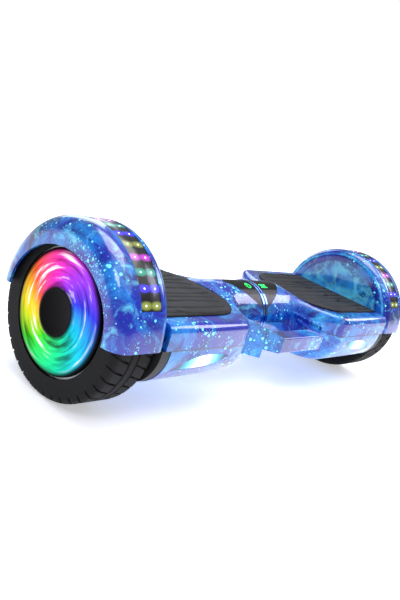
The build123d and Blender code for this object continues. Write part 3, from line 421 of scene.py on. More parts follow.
def smoked_strip(name, pitch, first, diode_reach):
    """Smoked polycarbonate over coloured diodes: black, with a soft patch of light at each row."""
    lights = bpy.context.scene.hoverboard_lights
    look, tree, shader, spot = blank(name, Roughness=0.3, Coat_Weight=0.2, Coat_Roughness=0.05,
                                     Base_Color=tint("#07080a"),
                                     Emission_Strength=lights.glow)
    angle, across, reach = axle_angle(tree, spot)
    cell = put(tree, "ShaderNodeMath", [(angle, 0)], operation="MULTIPLY_ADD", i1=1 / pitch,
               i2=0.5 - first / pitch)
    part = put(tree, "ShaderNodeMath", [(cell.outputs[0], 0)], operation="FRACT")
    off_row = put(tree, "ShaderNodeMath", [(part.outputs[0], 0)], operation="SUBTRACT", i1=0.5)
    row_mm = put(tree, "ShaderNodeMath", [(off_row.outputs[0], 0)], operation="MULTIPLY",
                 i1=pitch * fender_radius / (4.6 * mm))
    middle = (strip_low.x + strip_high.x) / 2
    off_x = put(tree, "ShaderNodeMath", [(across, 0)], operation="SUBTRACT", i1=middle)
    away = put(tree, "ShaderNodeMath", [(off_x.outputs[0], 0)], operation="ABSOLUTE")
    from_diode = put(tree, "ShaderNodeMath", [(away.outputs[0], 0)], operation="SUBTRACT",
                     i1=diode_reach)
    side_mm = put(tree, "ShaderNodeMath", [(from_diode.outputs[0], 0)], operation="MULTIPLY",
                  i1=1 / (9.0 * mm))
    row_square = put(tree, "ShaderNodeMath", [(row_mm.outputs[0], 0), (row_mm.outputs[0], 1)],
                     operation="MULTIPLY")
    both = put(tree, "ShaderNodeMath", [(side_mm.outputs[0], 0), (side_mm.outputs[0], 1),
                                        (row_square.outputs[0], 2)], operation="MULTIPLY_ADD")
    patch = put(tree, "ShaderNodeMapRange", [(both.outputs[0], "Value")], From_Min=1.15,
                From_Max=0.0, interpolation_type="SMOOTHSTEP")
    count = put(tree, "ShaderNodeMath", [(cell.outputs[0], 0)], operation="FLOOR")
    turn = put(tree, "ShaderNodeMath", [(count.outputs[0], 0)], operation="FLOORED_MODULO", i1=4.0)
    which = put(tree, "ShaderNodeMath", [(turn.outputs[0], 0)], operation="MULTIPLY_ADD", i1=0.25,
                i2=0.125)
    colours = put(tree, "ShaderNodeValToRGB", [(which.outputs[0], "Fac")],
                  stops=((0.0, tint("#6f7a34")), (0.75, tint("#a030a8")), (0.25, tint("#3428c8")),
                         (0.5, tint("#24806e"))))
    colours.color_ramp.interpolation = "CONSTANT"
    lit = put(tree, "ShaderNodeMix", [(patch.outputs[0], "Factor"), (colours.outputs[0], 7)],
              data_type="RGBA", i6=(0.0, 0.0, 0.0, 1.0))
    tree.links.new(lit.outputs[2], shader.inputs["Emission Color"])
    return look


def rainbow_dome(name):
    """Moulded polycarbonate dome over a ring of coloured diodes, with swirled light in its ribs."""
    lights = bpy.context.scene.hoverboard_lights
    look, tree, shader, spot = blank(name, Roughness=0.42, Coat_Weight=0.03, Coat_Roughness=0.06,
                                     IOR=1.1, Base_Color=tint("#010102"))
    angle, across, reach = axle_angle(tree, spot)
    round_turn = put(tree, "ShaderNodeMath", [(angle, 0)], operation="MULTIPLY_ADD",
                     i1=0.5 / math.pi, i2=0.37)
    lag = put(tree, "ShaderNodeMath", [(reach, 0), (round_turn.outputs[0], 2)],
              operation="MULTIPLY_ADD", i1=2.6)
    hue = put(tree, "ShaderNodeMath", [(lag.outputs[0], 0)], operation="FRACT")
    rainbow = put(tree, "ShaderNodeValToRGB", [(hue.outputs[0], "Fac")],
                  stops=((0.0, tint("#ffd21e")), (1.0, tint("#ffd21e")), (0.14, tint("#38e01c")),
                         (0.3, tint("#12e6a0")), (0.42, tint("#14c8f0")), (0.55, tint("#3a3cf0")),
                         (0.68, tint("#a838f0")), (0.8, tint("#ff2fb4")), (0.92, tint("#ff5a2c"))))
    swirl_angle = put(tree, "ShaderNodeMath", [(reach, 0), (angle, 2)], operation="MULTIPLY_ADD",
                      i1=36.0)
    east = put(tree, "ShaderNodeMath", [(swirl_angle.outputs[0], 0)], operation="COSINE")
    north = put(tree, "ShaderNodeMath", [(swirl_angle.outputs[0], 0)], operation="SINE")
    radius_step = put(tree, "ShaderNodeMath", [(reach, 0)], operation="MULTIPLY", i1=per(5.5))
    lane = put(tree, "ShaderNodeCombineXYZ", [(east.outputs[0], "X"), (north.outputs[0], "Y"),
                                              (radius_step.outputs[0], "Z")])
    streak = put(tree, "ShaderNodeTexNoise", [(lane.outputs[0], "Vector")], Scale=0.8, Detail=3.0,
                 Roughness=0.55)
    white = put(tree, "ShaderNodeMapRange", [(streak.outputs["Fac"], "Value")], From_Min=0.55,
                From_Max=0.7, interpolation_type="SMOOTHSTEP")
    dark = put(tree, "ShaderNodeMapRange", [(streak.outputs["Fac"], "Value")], From_Min=0.28,
               From_Max=0.5, To_Min=0.08)
    inner = put(tree, "ShaderNodeMapRange", [(reach, "Value")], From_Min=0.37 * cover_radius,
                From_Max=0.46 * cover_radius, interpolation_type="SMOOTHSTEP")
    outer = put(tree, "ShaderNodeMapRange", [(reach, "Value")], From_Min=0.985 * cover_radius,
                From_Max=0.87 * cover_radius, interpolation_type="SMOOTHSTEP")
    ring = put(tree, "ShaderNodeMath", [(inner.outputs[0], 0), (outer.outputs[0], 1)],
               operation="MULTIPLY")
    power = put(tree, "ShaderNodeMath", [(ring.outputs[0], 0), (dark.outputs[0], 1)],
                operation="MULTIPLY")
    strength = put(tree, "ShaderNodeMath", [(power.outputs[0], 0)], operation="MULTIPLY",
                   i1=lights.hub_glow)
    glow = put(tree, "ShaderNodeMix", [(white.outputs[0], "Factor"), (rainbow.outputs[0], 6)],
               data_type="RGBA", i7=tint("#ffffff"))
    tree.links.new(glow.outputs[2], shader.inputs["Emission Color"])
    tree.links.new(strength.outputs[0], shader.inputs["Emission Strength"])
    return look


def lamp_lens(name):
    """Frosted polycarbonate lens over a white diode: white core, cyan fall-off, dark outer tip."""
    lights = bpy.context.scene.hoverboard_lights
    look, tree, shader, spot = blank(name, Roughness=0.2, Coat_Weight=0.4, Coat_Roughness=0.03,
                                     IOR=1.4, Base_Color=tint("#0a1626"),
                                     Emission_Strength=lights.lamp_glow)
    axes = put(tree, "ShaderNodeSeparateXYZ", [(spot, "Vector")])
    across = put(tree, "ShaderNodeMath", [(axes.outputs["X"], 0)], operation="ABSOLUTE")
    centre = lamp_low.x + 0.48 * (lamp_high.x - lamp_low.x)
    off = put(tree, "ShaderNodeMath", [(across.outputs[0], 0)], operation="SUBTRACT", i1=centre)
    away = put(tree, "ShaderNodeMath", [(off.outputs[0], 0)], operation="ABSOLUTE")
    speck = put(tree, "ShaderNodeTexNoise", [(spot, "Vector")], Scale=per(5), Detail=3.0)
    wobble = put(tree, "ShaderNodeMath", [(speck.outputs["Fac"], 0), (away.outputs[0], 2)],
                 operation="MULTIPLY_ADD", i1=6 * mm)
    glow = put(tree, "ShaderNodeMapRange", [(wobble.outputs[0], "Value")], From_Min=44 * mm,
               From_Max=9 * mm)
    tone = put(tree, "ShaderNodeValToRGB", [(glow.outputs[0], "Fac")],
               stops=((0.0, tint("#01040a")), (1.0, tint("#ffffff")), (0.28, tint("#06385e")),
                      (0.55, tint("#18b4dc")), (0.82, tint("#a8f2ff"))))
    tree.links.new(tone.outputs[0], shader.inputs["Emission Color"])
    return look


# ---- building ----
def set_piece(name, mesh, body, looks, replaced=()):
    """Puts a mesh in the scene on its body, with its looks and the nodes that it stands for."""
    thing = bpy.data.objects.new(name, mesh)
    bpy.context.scene.collection.objects.link(thing)
    for look in looks:
        mesh.materials.append(look)
    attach(thing, body)
    if replaced:
        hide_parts(*replaced)
    return thing


def closed_mesh(name, points, faces, crease=40):
    """Mesh from points and faces, its normals outwards, smooth up to the crease angle."""
    mesh = bpy.data.meshes.new(name)
    mesh.from_pydata(points, [], faces)
    form = bmesh.new()
    form.from_mesh(mesh)
    bmesh.ops.recalc_face_normals(form, faces=form.faces)
    form.to_mesh(mesh)
    form.free()
    mesh.shade_smooth()
    mesh.set_sharp_from_angle(angle=math.radians(crease))
    return mesh


def fair_skin(node, name, crease=24):
    """The node's form as one welded skin, smooth between creases."""
    source = nodes[node].data
    mesh = bpy.data.meshes.new(name)
    form = bmesh.new()
    for vertex in source.vertices:
        form.verts.new(vertex.co)
    form.verts.ensure_lookup_table()
    for face in source.polygons:
        form.faces.new([form.verts[i] for i in face.vertices])
    bmesh.ops.remove_doubles(form, verts=form.verts, dist=0.004 * mm)
    bmesh.ops.dissolve_degenerate(form, edges=form.edges, dist=0.004 * mm)
    form.to_mesh(mesh)
    form.free()
    mesh.shade_smooth()
    mesh.set_sharp_from_angle(angle=math.radians(crease))
    return mesh


def soften(thing, width, angle=35):
    """Rounds a piece's sharp edges so that they catch the light."""
    bevel = thing.modifiers.new("edge", "BEVEL")
    bevel.width = width
    bevel.segments = 2
    bevel.limit_method = "ANGLE"
    bevel.angle_limit = math.radians(angle)
    bevel.harden_normals = True


def reskin(node, body, look, width):
    """Stands a smooth, edge-rounded copy of a node's form in for the node."""
    mesh = fair_skin(node, node + "_skin")
    soften(set_piece(node + "_skin", mesh, body, [look], [node]), width)


def finish_node(node, look):
    """Gives a kept node its material."""
    slots = nodes[node].data.materials
    slots.clear()
    slots.append(look)


def turned(profile, steps):
    """Points and faces of (x, radius) pairs turned about the axle line; radius 0 closes an end."""
    points = []
    starts = []
    for x, radius in profile:
        starts.append(len(points))
        if radius == 0:
            points.append((x, 0, axle_z))
            continue
        for i in range(steps):
            a = 2 * math.pi * i / steps
            points.append((x, -radius * math.cos(a), axle_z + radius * math.sin(a)))
    faces = []
    for k in range(len(profile) - 1):
        a, b = starts[k], starts[k + 1]
        for i in range(steps):
            j = (i + 1) % steps
            if profile[k][1] == 0:
                faces.append((a, b + i, b + j))
            elif profile[k + 1][1] == 0:
                faces.append((a + i, a + j, b))
            else:
                faces.append((a + i, a + j, b + j, b + i))
    return points, faces


class DressShells(bpy.types.Operator):
    """Film-printed shells and carry handle"""
    bl_idname = "hoverboard.shells"
    bl_label = "Shells and handle"

    def execute(self, context):
        edge = context.scene.hoverboard_film.edge
        deck_film = printed_film("water_transfer_film_on_abs_deck", 0.47, 0.5)
        belly_film = printed_film("water_transfer_film_on_abs_belly", 0.41, 0.5)
        handle_film = printed_film("water_transfer_film_on_abs_handle", 0.44, 0.0)
        jobs = [(f"{side}_{kind}", f"{side}_half", film) for side, way in sides
                for kind, film in (("upper_shell", deck_film), ("lower_shell", belly_film))]
        jobs.append(("carry_handle", "right_half", handle_film))
        for node, body, film in jobs:
            reskin(node, body, film, edge)
        return {"FINISHED"}


class DressTyres(bpy.types.Operator):
    """Solid rubber tyres with cross-grooved shoulders"""
    bl_idname = "hoverboard.tyres"
    bl_label = "Tyres"

    def execute(self, context):
        tyre = context.scene.hoverboard_tyre
        look = moulded_rubber("compression_moulded_tyre_rubber", "#050506", 0.8, 0.66)
        width = tyre_high.x - tyre_low.x
        shoulder = 7 * mm
        side_steps = (0.0, 0.35, 0.7, 1.0)
        section = [(0.0, rim_radius + s * (wheel_radius - shoulder - rim_radius)) for s in side_steps]
        for i in range(1, 6):
            a = math.pi / 2 * i / 6
            section.append((shoulder * (1 - math.cos(a)),
                            wheel_radius - shoulder + shoulder * math.sin(a)))
        crown_steps = 32
        for i in range(crown_steps + 1):
            section.append((shoulder + (width - 2 * shoulder) * i / crown_steps, wheel_radius))
        section += [(width - x, r) for x, r in reversed(section[:9])]
        across_groove = (-0.5, -0.3, -0.15, -0.09, -0.06, 0.0, 0.06, 0.09, 0.15, 0.3)
        steps = [(k + part, part) for k in range(tyre.sipes) for part in across_groove]
        for side, way in sides:
            points = []
            for place, part in steps:
                for x, radius in section:
                    s = 2 * x / width - 1
                    lean = tyre.sweep * s * abs(s) ** 0.4
                    angle = 2 * math.pi * place / tyre.sipes + lean
                    cut = 1.0 if abs(part) < 0.08 else 0.0
                    on_tread = 1.0 if 0.24 < abs(s) and radius > wheel_radius - 0.8 * shoulder else 0.0
                    band = 1.0 if 0.15 < abs(s) < 0.21 else 0.0
                    depth = tyre.depth * max(cut * on_tread, 0.8 * band)
                    inner = radius - depth
                    points.append((way * (tyre_low.x + x), -inner * math.cos(angle),
                                   axle_z + inner * math.sin(angle)))
            across = len(section)
            faces = []
            for i in range(len(steps)):
                j = (i + 1) % len(steps)
                for k in range(across):
                    m = (k + 1) % across
                    faces.append((i * across + k, i * across + m, j * across + m, j * across + k))
            mesh = closed_mesh(f"{side}_tyre_tread", points, faces)
            set_piece(f"{side}_tyre_tread", mesh, f"{side}_wheel", [look],
                      [f"{side}_tyre"])
        return {"FINISHED"}


class DressHubs(bpy.types.Operator):
    """Domed hub covers with their ring of light"""
    bl_idname = "hoverboard.hubs"
    bl_label = "Hub covers"

    def execute(self, context):
        look = rainbow_dome("moulded_polycarbonate_dome_lit")
        crown = cover_high.x
        base = cover_low.x
        rise = crown - base
        outer = cover_radius
        profile = [(crown - 1.0 * mm, 0), (crown - 1.0 * mm, 0.30 * outer),
                   (crown - 0.2 * mm, 0.34 * outer), (crown, 0.38 * outer),
                   (crown - 0.3 * mm, 0.40 * outer)]
        ribs = 7
        for i in range(1, 2 * ribs):
            share = i / (2 * ribs)
            radius = (0.40 + 0.45 * share) * outer
            dip = 1.1 * mm * math.sin(math.pi * share) + (0.35 * mm if i % 2 else 0.0)
            profile.append((crown - 0.3 * mm - dip - 1.6 * mm * share, radius))
        profile += [(crown - 2.0 * mm, 0.87 * outer), (crown - 2.3 * mm, 0.93 * outer),
                    (crown - 3.4 * mm, 0.98 * outer), (base + 0.3 * rise, outer), (base, outer),
                    (base, 0.933 * outer), (base + 0.3 * rise, 0.933 * outer),
                    (crown - 5.0 * mm, 0.6 * outer), (crown - 3.4 * mm, 0.4 * outer),
                    (crown - 3.4 * mm, 0)]
        for side, way in sides:
            points, faces = turned([(way * x, r) for x, r in profile], 192)
            mesh = closed_mesh(f"{side}_hub_dome", points, faces)
            set_piece(f"{side}_hub_dome", mesh, f"{side}_wheel", [look],
                      [f"{side}_hub_cover"])
        return {"FINISHED"}


class DressStrips(bpy.types.Operator):
    """Fender light strips with their rows of diodes"""
    bl_idname = "hoverboard.strips"
    bl_label = "Fender light strips"

    def execute(self, context):
        lights = context.scene.hoverboard_lights
        margin = math.radians(3.6)
        first = strip_end + margin
        pitch = (math.pi - 2 * first) / (lights.rows - 1)
        diode_reach = 0.26 * (strip_high.x - strip_low.x)
        look = smoked_strip("smoked_polycarbonate_over_diodes", pitch, first, diode_reach)
        spark = lit_plastic("clear_diode_cap", "#f4fbff", 2.5)
        inner = strip_board_high.z - axle_z
        outer = fender_radius - 0.25 * mm
        steps = 120
        for side, way in sides:
            points = []
            for i in range(steps + 1):
                a = strip_end + (math.pi - 2 * strip_end) * i / steps
                for x, radius in ((strip_low.x, inner), (strip_low.x, outer - 0.4 * mm),
                                  (strip_low.x + 0.6 * mm, outer),
                                  (strip_high.x - 0.6 * mm, outer),
                                  (strip_high.x, outer - 0.4 * mm), (strip_high.x, inner)):
                    points.append((way * x, -radius * math.cos(a), axle_z + radius * math.sin(a)))
            faces = [tuple(range(6)), tuple(range(6 * steps, 6 * steps + 6))]
            for i in range(steps):
                for k in range(6):
                    m = (k + 1) % 6
                    faces.append((6 * i + k, 6 * i + m, 6 * i + 6 + m, 6 * i + 6 + k))
            mesh = closed_mesh(f"{side}_smoked_strip", points, faces)
            set_piece(f"{side}_smoked_strip", mesh, f"{side}_half", [look],
                      [f"{side}_fender_lens"])
            form = bmesh.new()
            middle = (strip_low.x + strip_high.x) / 2
            for row in range(lights.rows):
                a = first + row * pitch
                for reach in (-diode_reach, diode_reach):
                    radius = outer
                    spot = Vector((way * (middle + reach), -radius * math.cos(a),
                                   axle_z + radius * math.sin(a)))
                    stand = (Matrix.Translation(spot) @ Matrix.Rotation(a - math.pi / 2, 4, "X").inverted()
                             @ Matrix.Diagonal((0.85 * mm, 0.85 * mm, 0.24 * mm, 1)))
                    bmesh.ops.create_icosphere(form, subdivisions=2, radius=1.0, matrix=stand)
            caps = bpy.data.meshes.new(f"{side}_diode_caps")
            form.to_mesh(caps)
            form.free()
            caps.shade_smooth()
            set_piece(f"{side}_diode_caps", caps, f"{side}_half", [spark])
        return {"FINISHED"}


def arc_points(a, b, c, count):
    """Points from a to c on the circle through a, b and c, both ends included."""
    ax, ay, bx, by, cx, cy = *a, *b, *c
    d = 2 * (ax * (by - cy) + bx * (cy - ay) + cx * (ay - by))
    ux = ((ax * ax + ay * ay) * (by - cy) + (bx * bx + by * by) * (cy - ay)
          + (cx * cx + cy * cy) * (ay - by)) / d
    uy = ((ax * ax + ay * ay) * (cx - bx) + (bx * bx + by * by) * (ax - cx)
          + (cx * cx + cy * cy) * (bx - ax)) / d
    start = math.atan2(ay - uy, ax - ux)
    sweep = (math.atan2(cy - uy, cx - ux) - start + math.pi) % (2 * math.pi) - math.pi
    radius = math.hypot(ax - ux, ay - uy)
    return [(ux + radius * math.cos(start + sweep * i / count),
             uy + radius * math.sin(start + sweep * i / count)) for i in range(count + 1)]


def mat_edge():
    """Plan of the mat's rear edge, from the tip on its inner end to the wheel's side."""
    corner = ((52 * mm, 2 * mm), (21 * mm, 15 * mm), (5 * mm, 38 * mm))
    inner, outer, half = mat_low.x, mat_high.x, mat_high.y
    a, b, c = [(inner + along, half - aside) for along, aside in corner]
    nose = arc_points((inner, 0), (inner + 0.25 * corner[2][0], c[1] / 2), c, 8)
    return nose + arc_points(c, b, a, 12)[1:] + [(outer, half)]


def half_width(edge, x):
    """Half the mat's width at x."""
    for (x0, y0), (x1, y1) in zip(edge, edge[1:]):
        if x0 <= x <= x1 and x1 > x0:
            return y0 + (y1 - y0) * (x - x0) / (x1 - x0)
    return edge[-1][1]


def mat_grooves(pitch):
    """Centre lines of the grooves, in plan: long waves with a fork where they turn outwards."""
    lines = []
    for k in range(-5, 6):
        y = k * pitch
        reach = mat_high.x - 8 * mm
        start = mat_low.x + (14 + 1.1 * abs(k) ** 1.9) * mm
        bend = 5 * mm * math.sin(1.7 * k)
        wave = [(start + (reach - start) * i / 10,
                 y + bend * math.sin(math.pi * i / 10) * (1 - i / 14)) for i in range(11)]
        lines.append(wave)
        if k % 2:
            fork = wave[5 if k > 0 else 6]
            lean = -0.42 if k > 0 else 0.42
            lines.append([(fork[0] + 3 * mm * i, fork[1] + lean * pitch * math.sin(i / 6 * math.pi / 2))
                          for i in range(7)])
    return lines


def distance_to(line, x, y):
    """Distance from a point to an open line of points."""
    best = 1.0
    for (x0, y0), (x1, y1) in zip(line, line[1:]):
        dx, dy = x1 - x0, y1 - y0
        t = max(0.0, min(1.0, ((x - x0) * dx + (y - y0) * dy) / (dx * dx + dy * dy)))
        best = min(best, math.hypot(x - x0 - t * dx, y - y0 - t * dy))
    return best


class DressMats(bpy.types.Operator):
    """Moulded rubber foot mats"""
    bl_idname = "hoverboard.mats"
    bl_label = "Foot mats"

    def execute(self, context):
        choice = context.scene.hoverboard_mat
        look = mat_rubber("compression_moulded_mat_rubber", mat_high.z, 0.8 * choice.groove)
        edge = mat_edge()
        lines = mat_grooves(choice.pitch)
        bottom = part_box("right_pedal_board")[1].z + 1.2 * mm
        under = mat_high.z - 4 * mm
        length = mat_high.x - mat_low.x
        block_shares = (0.333, 0.82)
        rows = 110
        columns = 110
        xs = [mat_low.x + length * (i / rows) ** 1.25 for i in range(1, rows + 1)]
        heights = []
        for x in xs:
            half = half_width(edge, x)
            for j in range(columns + 1):
                y = half * (2 * j / columns - 1)
                near = min(distance_to(line, x, y) for line in lines)
                groove = choice.groove * max(0.0, 1 - (2 * near / choice.width) ** 2)
                rim = min(half - abs(y), mat_high.x - x, x - mat_low.x)
                roll = 1.4 * mm * max(0.0, 1 - rim / (2.2 * mm)) ** 2
                heights.append((x, y, mat_high.z - max(groove, roll)))
        stride = columns + 1
        for side, way in sides:
            points = [(way * x, y, z) for x, y, z in heights]
            points += [(way * x, y, under) for x, y, z in heights]
            floor = len(heights)
            faces = []
            for i in range(rows - 1):
                for j in range(columns):
                    a = i * stride + j
                    quad = (a, a + 1, a + stride + 1, a + stride)
                    faces.append(quad)
                    faces.append(tuple(floor + v for v in quad))
            loop = ([j for j in range(stride)]
                    + [i * stride + columns for i in range(1, rows)]
                    + [(rows - 1) * stride + j for j in range(columns - 1, -1, -1)]
                    + [i * stride for i in range(rows - 2, 0, -1)])
            for a, b in zip(loop, loop[1:] + loop[:1]):
                faces.append((a, b, floor + b, floor + a))
            mesh = closed_mesh(f"{side}_mat_moulding", points, faces, crease=60)
            set_piece(f"{side}_mat_moulding", mesh, f"{side}_pedal", [look],
                      [f"{side}_foot_mat"])
            blocks = bmesh.new()
            for x in block_shares:
                for y in (-36 * mm, 36 * mm):
                    size = Matrix.Diagonal((34 * mm, 26 * mm, under - bottom, 1))
                    spot = Matrix.Translation((way * (mat_low.x + x * length), y,
                                               (under + bottom) / 2))
                    bmesh.ops.create_cube(blocks, size=1, matrix=spot @ size)
            pads = bpy.data.meshes.new(f"{side}_mat_blocks")
            blocks.to_mesh(pads)
            blocks.free()
            set_piece(f"{side}_mat_blocks", pads, f"{side}_pedal", [look])
        return {"FINISHED"}


def stroke_on_waist(form, line, width, closed):
    """Adds a thin raised stroke on the waist: (along x, arc ahead of the top) pairs in metres."""
    radius = waist_radius + 0.06 * mm
    pairs = list(zip(line, line[1:] + line[:1])) if closed else list(zip(line, line[1:]))
    for (x0, s0), (x1, s1) in pairs:
        length = math.hypot(x1 - x0, s1 - s0)
        nx, ns = -(s1 - s0) / length * width / 2, (x1 - x0) / length * width / 2
        ex, es = (x1 - x0) / length * width / 2, (s1 - s0) / length * width / 2
        corners = ((x0 - ex + nx, s0 - es + ns), (x0 - ex - nx, s0 - es - ns),
                   (x1 + ex - nx, s1 + es - ns), (x1 + ex + nx, s1 + es + ns))
        low = []
        high = []
        for x, s in corners:
            a = s / radius
            for lift, group in ((-0.3 * mm, low), (0.1 * mm, high)):
                group.append(form.verts.new((x, -(radius + lift) * math.sin(a),
                                             axle_z + (radius + lift) * math.cos(a))))
        form.faces.new(high)
        form.faces.new(low[::-1])
        for k in range(4):
            m = (k + 1) % 4
            form.faces.new((low[k], low[m], high[m], high[k]))


class DressWindows(bpy.types.Operator):
    """Display windows on the waist, with their lit signs"""
    bl_idname = "hoverboard.windows"
    bl_label = "Display windows"

    def execute(self, context):
        gloss = display_gloss("polished_smoked_acrylic")
        green = lit_plastic("green_lit_acrylic", "#22d65c", 2.4)
        for side, way in sides:
            node = f"{side}_display_window"
            reskin(node, f"{side}_half", gloss, 0.3 * mm)
            form = bmesh.new()
            middle = way * 16 * mm
            ahead = 9 * mm
            ring = [(middle + 4 * mm * math.cos(a), ahead + 4 * mm * math.sin(a))
                    for a in [2 * math.pi * i / 20 for i in range(20)]]
            if way < 0:
                stroke_on_waist(form, ring, 1.1 * mm, True)
                stroke_on_waist(form, [(middle, ahead - 5 * mm), (middle, ahead)], 1.2 * mm, False)
            else:
                box = [(middle - 6 * mm, ahead - 3 * mm), (middle + 6 * mm, ahead - 3 * mm),
                       (middle + 6 * mm, ahead + 3 * mm), (middle - 6 * mm, ahead + 3 * mm)]
                stroke_on_waist(form, box, 0.9 * mm, True)
                for bar in (-3.4, 0.0, 3.4):
                    stroke_on_waist(form, [(middle + bar * mm, ahead - 1.3 * mm),
                                           (middle + bar * mm, ahead + 1.3 * mm)], 2.2 * mm, False)
            bmesh.ops.recalc_face_normals(form, faces=form.faces)
            sign = bpy.data.meshes.new(f"{side}_window_sign")
            form.to_mesh(sign)
            form.free()
            set_piece(f"{side}_window_sign", sign, f"{side}_half", [green])
        return {"FINISHED"}


class DressLamps(bpy.types.Operator):
    """Headlights"""
    bl_idname = "hoverboard.lamps"
    bl_label = "Headlights"

    def execute(self, context):
        lens = lamp_lens("frosted_polycarbonate_lens_lit")
        tray = grained_abs("moulded_black_abs_tray", "#101114", 0.45)
        for side, way in sides:
            node = f"{side}_headlight_lens"
            reskin(node, f"{side}_half", lens, 0.4 * mm)
            finish_node(f"{side}_headlight_housing", tray)
        return {"FINISHED"}


class DressWaist(bpy.types.Operator):
    """Trim rings and seal at the waist"""
    bl_idname = "hoverboard.waist"
    bl_label = "Waist rings"

    def execute(self, context):
        trim = plated_trim("vacuum_plated_abs_blue", "#6f9cf0")
        seal = moulded_rubber("moulded_seal_rubber", "#0b0b0c", 0.8, 0.6)
        for side, way in sides:
            node = f"{side}_waist_ring"
            reskin(node, f"{side}_half", trim, 0.8 * mm)
        finish_node("waist_seal", seal)
        return {"FINISHED"}


class DressSockets(bpy.types.Operator):
    """Rear panel with charge socket, cap and power button"""
    bl_idname = "hoverboard.sockets"
    bl_label = "Rear sockets"

    def execute(self, context):
        black = grained_abs("moulded_black_abs_panel", "#141518", 0.42)
        cap = moulded_rubber("moulded_cap_rubber", "#161617", 0.7, 0.5)
        bright = metal("nickel_plated_brass", "#c9c6bf", 0.22, 1.5, (1, 6, 1))
        silver = plated_trim("vacuum_plated_abs_silver", "#c4ccd8")
        steel = metal("bright_zinc_plated_steel", "#c2c4c8", 0.3, 1.2, (1, 1, 5))
        for node, look in (("io_panel", black), ("charge_cap", cap), ("charge_socket", bright),
                           ("power_button", silver), ("power_switch", black),
                           ("cap_pin", steel)):
            finish_node(node, look)
        return {"FINISHED"}


class DressGear(bpy.types.Operator):
    """Chassis, axles, motors, liners and screws"""
    bl_idname = "hoverboard.gear"
    bl_label = "Running gear"

    def execute(self, context):
        cast = metal("die_cast_aluminium", "#a8abae", 0.5, 2.5, (1, 1, 1))
        steel = metal("ground_axle_steel", "#b9bcc0", 0.28, 0.8, (6, 1, 1))
        zinc = metal("zinc_plated_screw_steel", "#c4c4be", 0.3, 1.0, (1, 1, 5))
        rim = metal("turned_rim_aluminium", "#8f9296", 0.35, 1.2, (8, 1, 1))
        iron = wound_iron("copper_wound_laminated_iron")
        liner = grained_abs("moulded_black_abs_liner", "#0e0f11", 0.5)
        nylon = grained_abs("moulded_nylon_bush", "#d8d6cc", 0.5)
        for side, way in sides:
            for kind, look in (("chassis", cast), ("axle_clamp", cast), ("axle", steel),
                               ("motor_rim", rim), ("motor_bearings", steel), ("stator", iron),
                               ("well_liner", liner), ("half_screws", zinc)):
                finish_node(f"{side}_{kind}", look)
        for node, look in (("pivot_tube", steel), ("pivot_clip", zinc), ("pivot_bushes", nylon),
                           ("handle_screws", zinc)):
            finish_node(node, look)
        return {"FINISHED"}


class DressElectrics(bpy.types.Operator):
    """Boards, battery and speaker"""
    bl_idname = "hoverboard.electrics"
    bl_label = "Electrics"

    def execute(self, context):
        board = etched_board("etched_glass_epoxy_board")
        wrap = shrink_wrap("pvc_heat_shrink_sleeve")
        sink = metal("black_anodised_aluminium", "#3a3b40", 0.45, 1.0, (1, 6, 1))
        cone = grained_abs("moulded_black_abs_speaker", "#17181b", 0.5)
        for side, way in sides:
            for kind in ("pedal_board", "gyro_board", "hub_light_board", "fender_board"):
                finish_node(f"{side}_{kind}", board)
        for node, look in (("battery_pack", wrap), ("main_board", sink), ("speaker", cone)):
            finish_node(node, look)
        return {"FINISHED"}


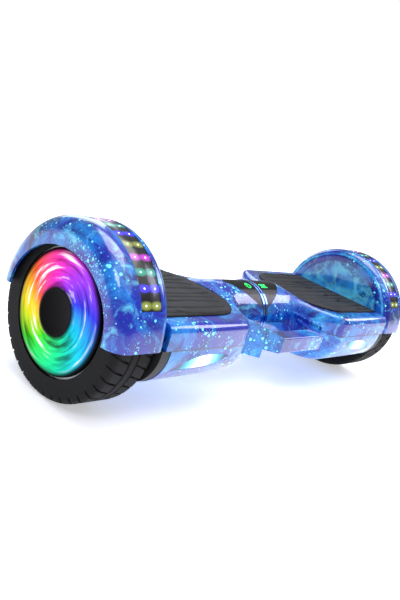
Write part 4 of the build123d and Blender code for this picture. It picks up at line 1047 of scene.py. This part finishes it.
class SetStage(bpy.types.Operator):
    """Pale floor, soft studio light and camera"""
    bl_idname = "hoverboard.stage"
    bl_label = "Stage"

    def execute(self, context):
        choice = context.scene.hoverboard_stage
        look, tree, shader, spot = blank("matt_studio_paint", Roughness=0.8,
                                         Base_Color=choice.floor[:],
                                         Emission_Color=choice.floor[:], Emission_Strength=0.5)
        reach = 30 * (cad_box[1].x - cad_box[0].x)
        floor = bpy.data.meshes.new("studio_floor")
        floor.from_pydata([(-reach, -reach, 0), (reach, -reach, 0), (reach, reach, 0),
                           (-reach, reach, 0)], [], [(0, 1, 2, 3)])
        floor.materials.append(look)
        ground = bpy.data.objects.new("studio_floor", floor)
        context.scene.collection.objects.link(ground)
        world = bpy.data.worlds.new("studio_air")
        world.use_nodes = True
        air = world.node_tree.nodes["Background"]
        air.inputs["Color"].default_value = tint("#ffffff")
        seen = put(world.node_tree, "ShaderNodeLightPath")
        level = put(world.node_tree, "ShaderNodeMapRange", [(seen.outputs["Is Camera Ray"], "Value")],
                    To_Min=0.3, To_Max=1.1)
        world.node_tree.links.new(level.outputs[0], air.inputs["Strength"])
        context.scene.world = world
        context.scene.view_settings.view_transform = "Standard"
        for name, spot_at, size, power, code in (
                ("overhead_box", (0.1, 0.1, 1.7), 1.3, 24, "#ffffff"),
                ("chamfer_box", (1.7, -0.5, 1.3), 0.8, 13, "#e8e6ff"),
                ("wheel_box", (-1.15, -0.55, 1.2), 0.42, 6, "#e9e4ff"),
                ("rear_box", (0.6, 1.4, 0.9), 0.9, 8, "#dff2ff")):
            lamp = bpy.data.lights.new(name, "AREA")
            lamp.size = size
            lamp.energy = power
            lamp.color = tint(code)[:3]
            box = bpy.data.objects.new(name, lamp)
            box.location = spot_at
            aim = Vector((0, 0, axle_z)) - box.location
            box.rotation_euler = aim.to_track_quat("-Z", "Y").to_euler()
            context.scene.collection.objects.link(box)
        sky = bpy.data.lights.new("even_sky", "SUN")
        sky.energy = 1.15
        sky.angle = 1.2
        high = bpy.data.objects.new("even_sky", sky)
        high.rotation_euler = (0.25, 0.15, 0)
        context.scene.collection.objects.link(high)
        lens = bpy.data.cameras.new("camera")
        lens.lens = choice.lens
        lens.clip_start = 0.01
        lens.clip_end = 100
        eye = bpy.data.objects.new("camera", lens)
        stand = Matrix.Translation((-0.6704, -0.4478, 0.2894))
        ahead = Vector((0.7687, 0.5881, -0.2515)).normalized()
        up = Vector((-0.003, 0.397, 0.918))
        right = ahead.cross(up).normalized()
        up = right.cross(ahead)
        turn = Matrix((right, up, -ahead)).transposed().to_4x4()
        eye.matrix_world = stand @ turn
        context.scene.collection.objects.link(eye)
        context.scene.camera = eye
        return {"FINISHED"}


class HoverboardPanel(bpy.types.Panel):
    """Dressing steps for the hoverboard"""
    bl_idname = "VIEW3D_PT_hoverboard"
    bl_label = "Hoverboard"
    bl_space_type = "VIEW_3D"
    bl_region_type = "UI"
    bl_category = "Hoverboard"

    def draw(self, context):
        for group in settings:
            for name in settings[group].__annotations__:
                self.layout.prop(getattr(context.scene, group), name)
        for step in steps_in_order:
            self.layout.operator(step.bl_idname)


settings = {
    "hoverboard_film": FilmSettings,
    "hoverboard_tyre": TyreSettings,
    "hoverboard_lights": LightSettings,
    "hoverboard_mat": MatSettings,
    "hoverboard_stage": StageSettings,
}
steps_in_order = (DressShells, DressTyres, DressHubs, DressStrips, DressMats, DressWindows,
                  DressLamps, DressWaist, DressSockets, DressGear, DressElectrics, SetStage)


def register():
    for kind in (*settings.values(), *steps_in_order, HoverboardPanel):
        bpy.utils.register_class(kind)
    for name, kind in settings.items():
        setattr(bpy.types.Scene, name, bpy.props.PointerProperty(type=kind))


def unregister():
    for name in settings:
        delattr(bpy.types.Scene, name)
    for kind in reversed((*settings.values(), *steps_in_order, HoverboardPanel)):
        bpy.utils.unregister_class(kind)


def main():
    register()
    bpy.ops.hoverboard.shells()
    bpy.ops.hoverboard.tyres()
    bpy.ops.hoverboard.hubs()
    bpy.ops.hoverboard.strips()
    bpy.ops.hoverboard.mats()
    bpy.ops.hoverboard.windows()
    bpy.ops.hoverboard.lamps()
    bpy.ops.hoverboard.waist()
    bpy.ops.hoverboard.sockets()
    bpy.ops.hoverboard.gear()
    bpy.ops.hoverboard.electrics()
    bpy.ops.hoverboard.stage()


if __name__ == "__main__":
    main()
